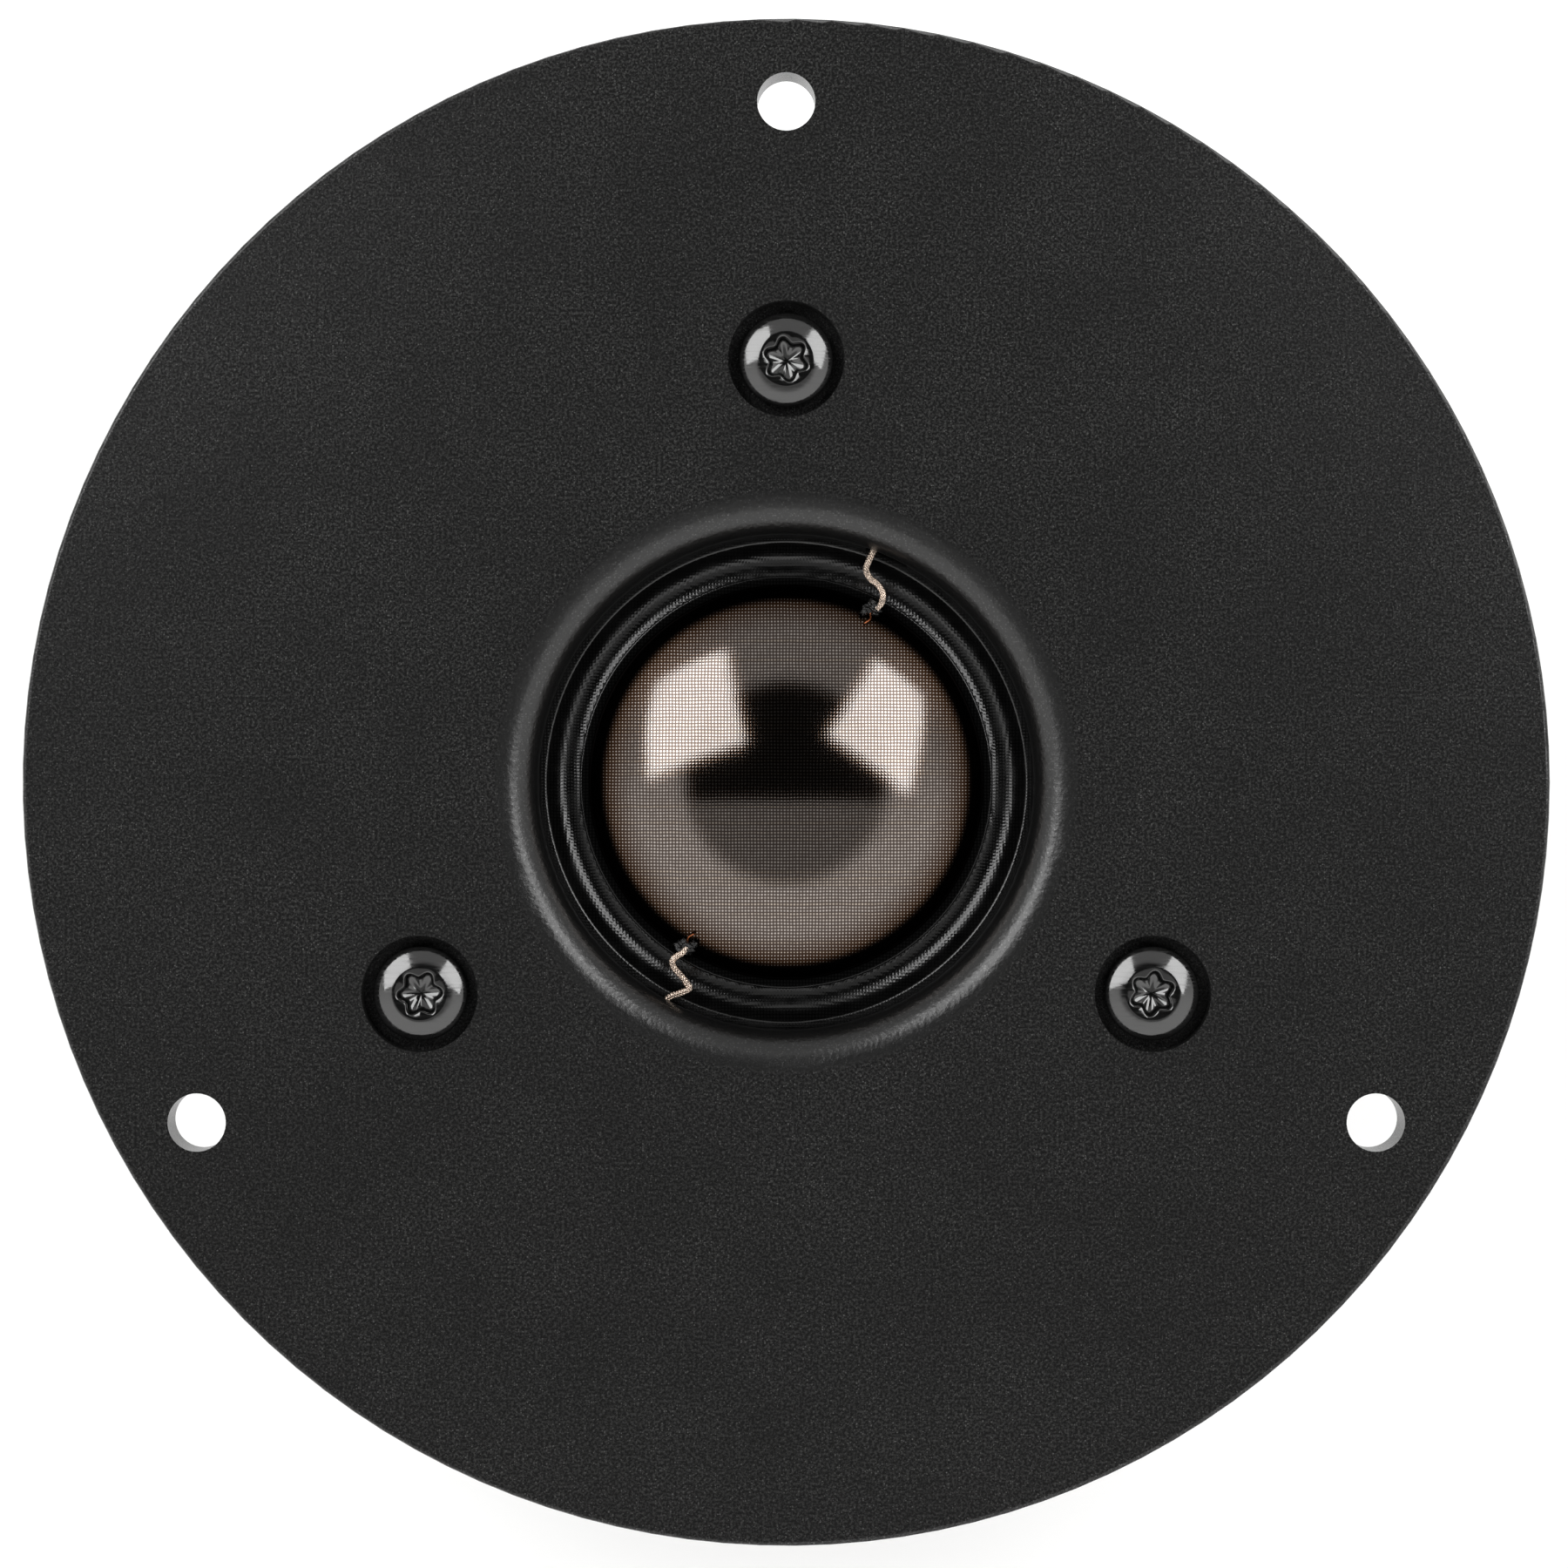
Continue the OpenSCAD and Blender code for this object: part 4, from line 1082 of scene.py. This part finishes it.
give(coil, "coil_wire")
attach(coil, "diaphragm")
print("coil:", turns, "turns in each of 2 layers,", len(mesh.polygons), "faces")

# %% [markdown]
# ## Glue and solder
# Glue dabs and solder are drops: round where they are free, spread where they touch. Each
# starts as a ball of many faces and is pushed about by smooth noise, which keeps it closed.

# %% Drops
def drop(centre, radius, flat_z, lump, seed, spread=(1, 1, 1), rings=20, angle=0):
    """Vertices and faces of one lumpy ball, cut flat at flat_z."""
    points, faces = [], []
    steps = rings * 2
    for i in range(rings + 1):
        polar = math.pi * i / rings
        for k in range(steps if 0 < i < rings else 1):
            turn_by = 2 * math.pi * k / steps
            way = Vector((math.sin(polar) * math.cos(turn_by), math.sin(polar) * math.sin(turn_by),
                          math.cos(polar)))
            bulge = 1 + lump * noise.noise(way * 1.8 + Vector((seed, seed * 2.3, 0)))
            local = Vector((way.x * spread[0], way.y * spread[1], way.z * spread[2]))
            local *= radius * bulge
            x, y, z = beside(angle, (centre[0] + local.x, centre[1] + local.y,
                                     max(centre[2] + local.z, flat_z)))
            points.append((x * MM, y * MM, z * MM))

    def ring(i):
        if i == 0:
            return [0] * steps
        if i == rings:
            return [len(points) - 1] * steps
        first = 1 + (i - 1) * steps
        return list(range(first, first + steps))

    for i in range(rings):
        low, high = ring(i), ring(i + 1)
        for k in range(steps):
            after = (k + 1) % steps
            faces.append(list(dict.fromkeys((low[k], high[k], high[after], low[after]))))
    return points, faces


def drops(name, balls, node, slot, body):
    points, faces = [], []
    for more_points, more_faces in balls:
        first = len(points)
        points += more_points
        faces += [[first + i for i in face] for face in more_faces]
    mesh = bpy.data.meshes.new(name)
    mesh.from_pydata(points, [], faces)
    mesh.update()
    piece = new_piece(name, mesh, node)
    give(piece, slot)
    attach(piece, body)


glue_floor, lug_floor, tab_floor, solder_r = 1.45, -0.4, -9, 0.98
dabs = [drop((14.1, -.65, 1.78), 0.5, glue_floor, 0.7, 3 + i, (1.0, 1.25, 0.9), angle=a)
        for i, a in enumerate(lead_angles)]
dabs += [drop((13.55, -.15, 2.02), 0.26, glue_floor, 0.6, 7 + i, angle=a)
         for i, a in enumerate(lead_angles)]
drops("glue_dabs", dabs, "lead_glue_dots", "glue_black", "diaphragm")
joints = [drop((solder_out, 0, -.4), solder_r, lug_floor, 0.25, i, (1.05, .95, .95), angle=a)
          for i, a in enumerate(lead_angles)]
joints += [drop((x, tab_y, -1.75), solder_r, tab_floor, 0.25, 5 + x, (.95, .9, 1.0))
           for x in (-tab_x, tab_x)]
drops("solder_drops", joints, "solder_joints", "solder", "chassis")
print("drops made:", len(dabs), "of glue,", len(joints), "of solder")

# %% [markdown]
# ## Foam, felt and wool
# The sealing strips are cut from foam sheet, so their edges are square but soft. The felt
# ring on the pole and the wadding in the chamber are fibrous: their surfaces are pushed in and
# out by noise, and the wadding also sheds loose hairs. The chamber's foam gets its screw holes
# with a Boolean modifier. All are soft, so each stands in the space of its CAD solid.

# %% Soft rings
def drilled(mesh, holes):
    """The mesh with upright holes, each given as its place and radius in millimetres."""
    sheet = bpy.data.objects.new("sheet", mesh)
    drill_mesh = bpy.data.meshes.new("drills")
    drills = bmesh.new()
    for (x, y), radius in holes:
        bmesh.ops.create_cone(drills, cap_ends=True, segments=40, radius1=radius * MM,
                              radius2=radius * MM, depth=200 * MM,
                              matrix=Matrix.Translation((x * MM, y * MM, 0)))
    drills.to_mesh(drill_mesh)
    drills.free()
    drill = bpy.data.objects.new("drills", drill_mesh)
    for body in (sheet, drill):
        scene.collection.objects.link(body)
    cut = sheet.modifiers.new("holes", "BOOLEAN")
    cut.object = drill
    cut.solver = "EXACT"
    result = bpy.data.meshes.new_from_object(
        sheet.evaluated_get(bpy.context.evaluated_depsgraph_get()))
    bpy.data.objects.remove(sheet)
    bpy.data.objects.remove(drill)
    return result


def soft_ring(name, node, inner, edge, amount, per_mm, slot, fill, steps=360, rows=8, holes=()):
    low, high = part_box(node)
    outer, z0, z1 = high.x / MM - amount, low.z / MM + amount * .5, high.z / MM - amount * .5
    corners = rounded([(inner + amount, z0), (outer, z0), (outer, z1), (inner + amount, z1)],
                      edge, 4)
    outline = []
    for p, q in zip(corners, corners[1:] + corners[:1]):
        count = max(1, int((Vector(q) - Vector(p)).length / ((outer - inner) / rows)))
        outline += [tuple(Vector(p).lerp(Vector(q), i / count)) for i in range(count)]
    mesh = turn(outline, steps)
    centre_r, centre_z = (inner + outer) / 2, (z0 + z1) / 2
    for vertex in mesh.vertices:
        place_mm = vertex.co / MM
        flat = place_mm.xy.length or 1
        away = Vector((place_mm.x / flat * (flat - centre_r), place_mm.y / flat * (flat - centre_r),
                       place_mm.z - centre_z)).normalized()
        vertex.co += away * amount * MM * noise.noise(place_mm * per_mm)
    if holes:
        mesh = drilled(mesh, holes)
    piece = new_piece(name, mesh, node)
    give(piece, slot)
    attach(piece, "chassis")


foam_look = dict(amount=0.03, per_mm=1.6, slot="foam", fill=0.9)
soft_ring("flange_foam", "flange_seal", inner=42.0, edge=0.18, **foam_look)
soft_ring("pole_felt", "pole_damper", inner=6.2, edge=0.7, amount=0.10, per_mm=1.5, slot="felt",
          fill=0.8, steps=240)
hole_circle_r, hole_r = 26.98, 1.68
chamber_holes = [((hole_circle_r * math.cos(a), hole_circle_r * math.sin(a)), hole_r)
                 for a in (math.radians(90 + 120 * i) for i in range(3))]
soft_ring("chamber_foam", "chamber_gasket", inner=22.38, edge=0.15, holes=chamber_holes, **foam_look)
print("soft rings made, one with", len(chamber_holes), "holes")

# %% Wadding, with loose hairs
wool_low, wool_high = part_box("chamber_wool")
wool_r = wool_high.x / MM - 0.7
wool_z0, wool_z1 = wool_low.z / MM + 0.6, wool_high.z / MM - 0.6
corner_r = 2
side_h = wool_z1 - wool_z0 - 2 * corner_r
outline = ([(0, wool_z0)] + [(wool_r * t / 14, wool_z0) for t in range(1, 13)]
           + arc(wool_r - corner_r, wool_z0 + corner_r, corner_r, -90, 0, 5)
           + [(wool_r, wool_z0 + corner_r + side_h * t / 8) for t in range(1, 8)]
           + arc(wool_r - corner_r, wool_z1 - corner_r, corner_r, 0, 90, 5)
           + [(wool_r * t / 14, wool_z1) for t in range(12, 0, -1)] + [(0, wool_z1)])
wool_mesh = turn(outline, 120)
for vertex in wool_mesh.vertices:
    place_mm = vertex.co / MM
    way_out = (place_mm - Vector((0, 0, (wool_z0 + wool_z1) / 2))).normalized()
    vertex.co += way_out * MM * (0.45 * noise.noise(place_mm * 0.35)
                                 + 0.2 * noise.noise(place_mm * 1.1))
tree, given = new_tree("loose_hairs", Hairs="number", Hair_length="number", Hair_radius="number",
                       Seed="count", Finish="finish")
spots = add(tree, "GeometryNodeDistributePointsOnFaces", {
    "Mesh": given["Geometry"], "Density": given["Hairs"], "Seed": given["Seed"]})
hair = add(tree, "GeometryNodeCurveArc", {
    "Resolution": 7, "Radius": given["Hair length"], "Sweep Angle": 1.6}).outputs[0]
centred_hair = add(tree, "GeometryNodeTransform", {
    "Geometry": swept(tree, hair, given["Hair radius"], 3),
    "Translation": (-1.2 * MM, 0, 0)}).outputs[0]
lean_by = add(tree, "FunctionNodeRandomValue", {
    0: (-0.35, -0.35, 0.0), 1: (0.35, 0.35, 6.28), "Seed": given["Seed"]},
    data_type="FLOAT_VECTOR").outputs[0]
facing = add(tree, "FunctionNodeAlignRotationToVector", {"Vector": spots.outputs["Normal"]},
             axis="Z").outputs[0]
turned_hair = add(tree, "FunctionNodeRotateRotation", {"Rotation": facing, "Rotate By": lean_by},
                  rotation_space="LOCAL").outputs[0]
hairs = add(tree, "GeometryNodeInstanceOnPoints", {
    "Points": spots.outputs["Points"], "Instance": centred_hair,
    "Rotation": turned_hair}).outputs[0]
both = add(tree, "GeometryNodeJoinGeometry")
tree.links.new(hairs, both.inputs[0])
tree.links.new(given["Geometry"], both.inputs[0])
close_tree(tree, both.outputs[0], given["Finish"])
carrier = bpy.data.objects.new("wadding", wool_mesh)
scene.collection.objects.link(carrier)
fluffy = run_tree(tree, carrier, Hairs=450000.0, Hair_length=1.3 * MM, Hair_radius=0.02 * MM,
                  Seed=4, Finish=finishes["wool"])
wool = new_piece("wadding_pad", fluffy, "chamber_wool")
give(wool, "wool")
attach(wool, "chassis")
print("wadding:", len(fluffy.polygons), "faces")
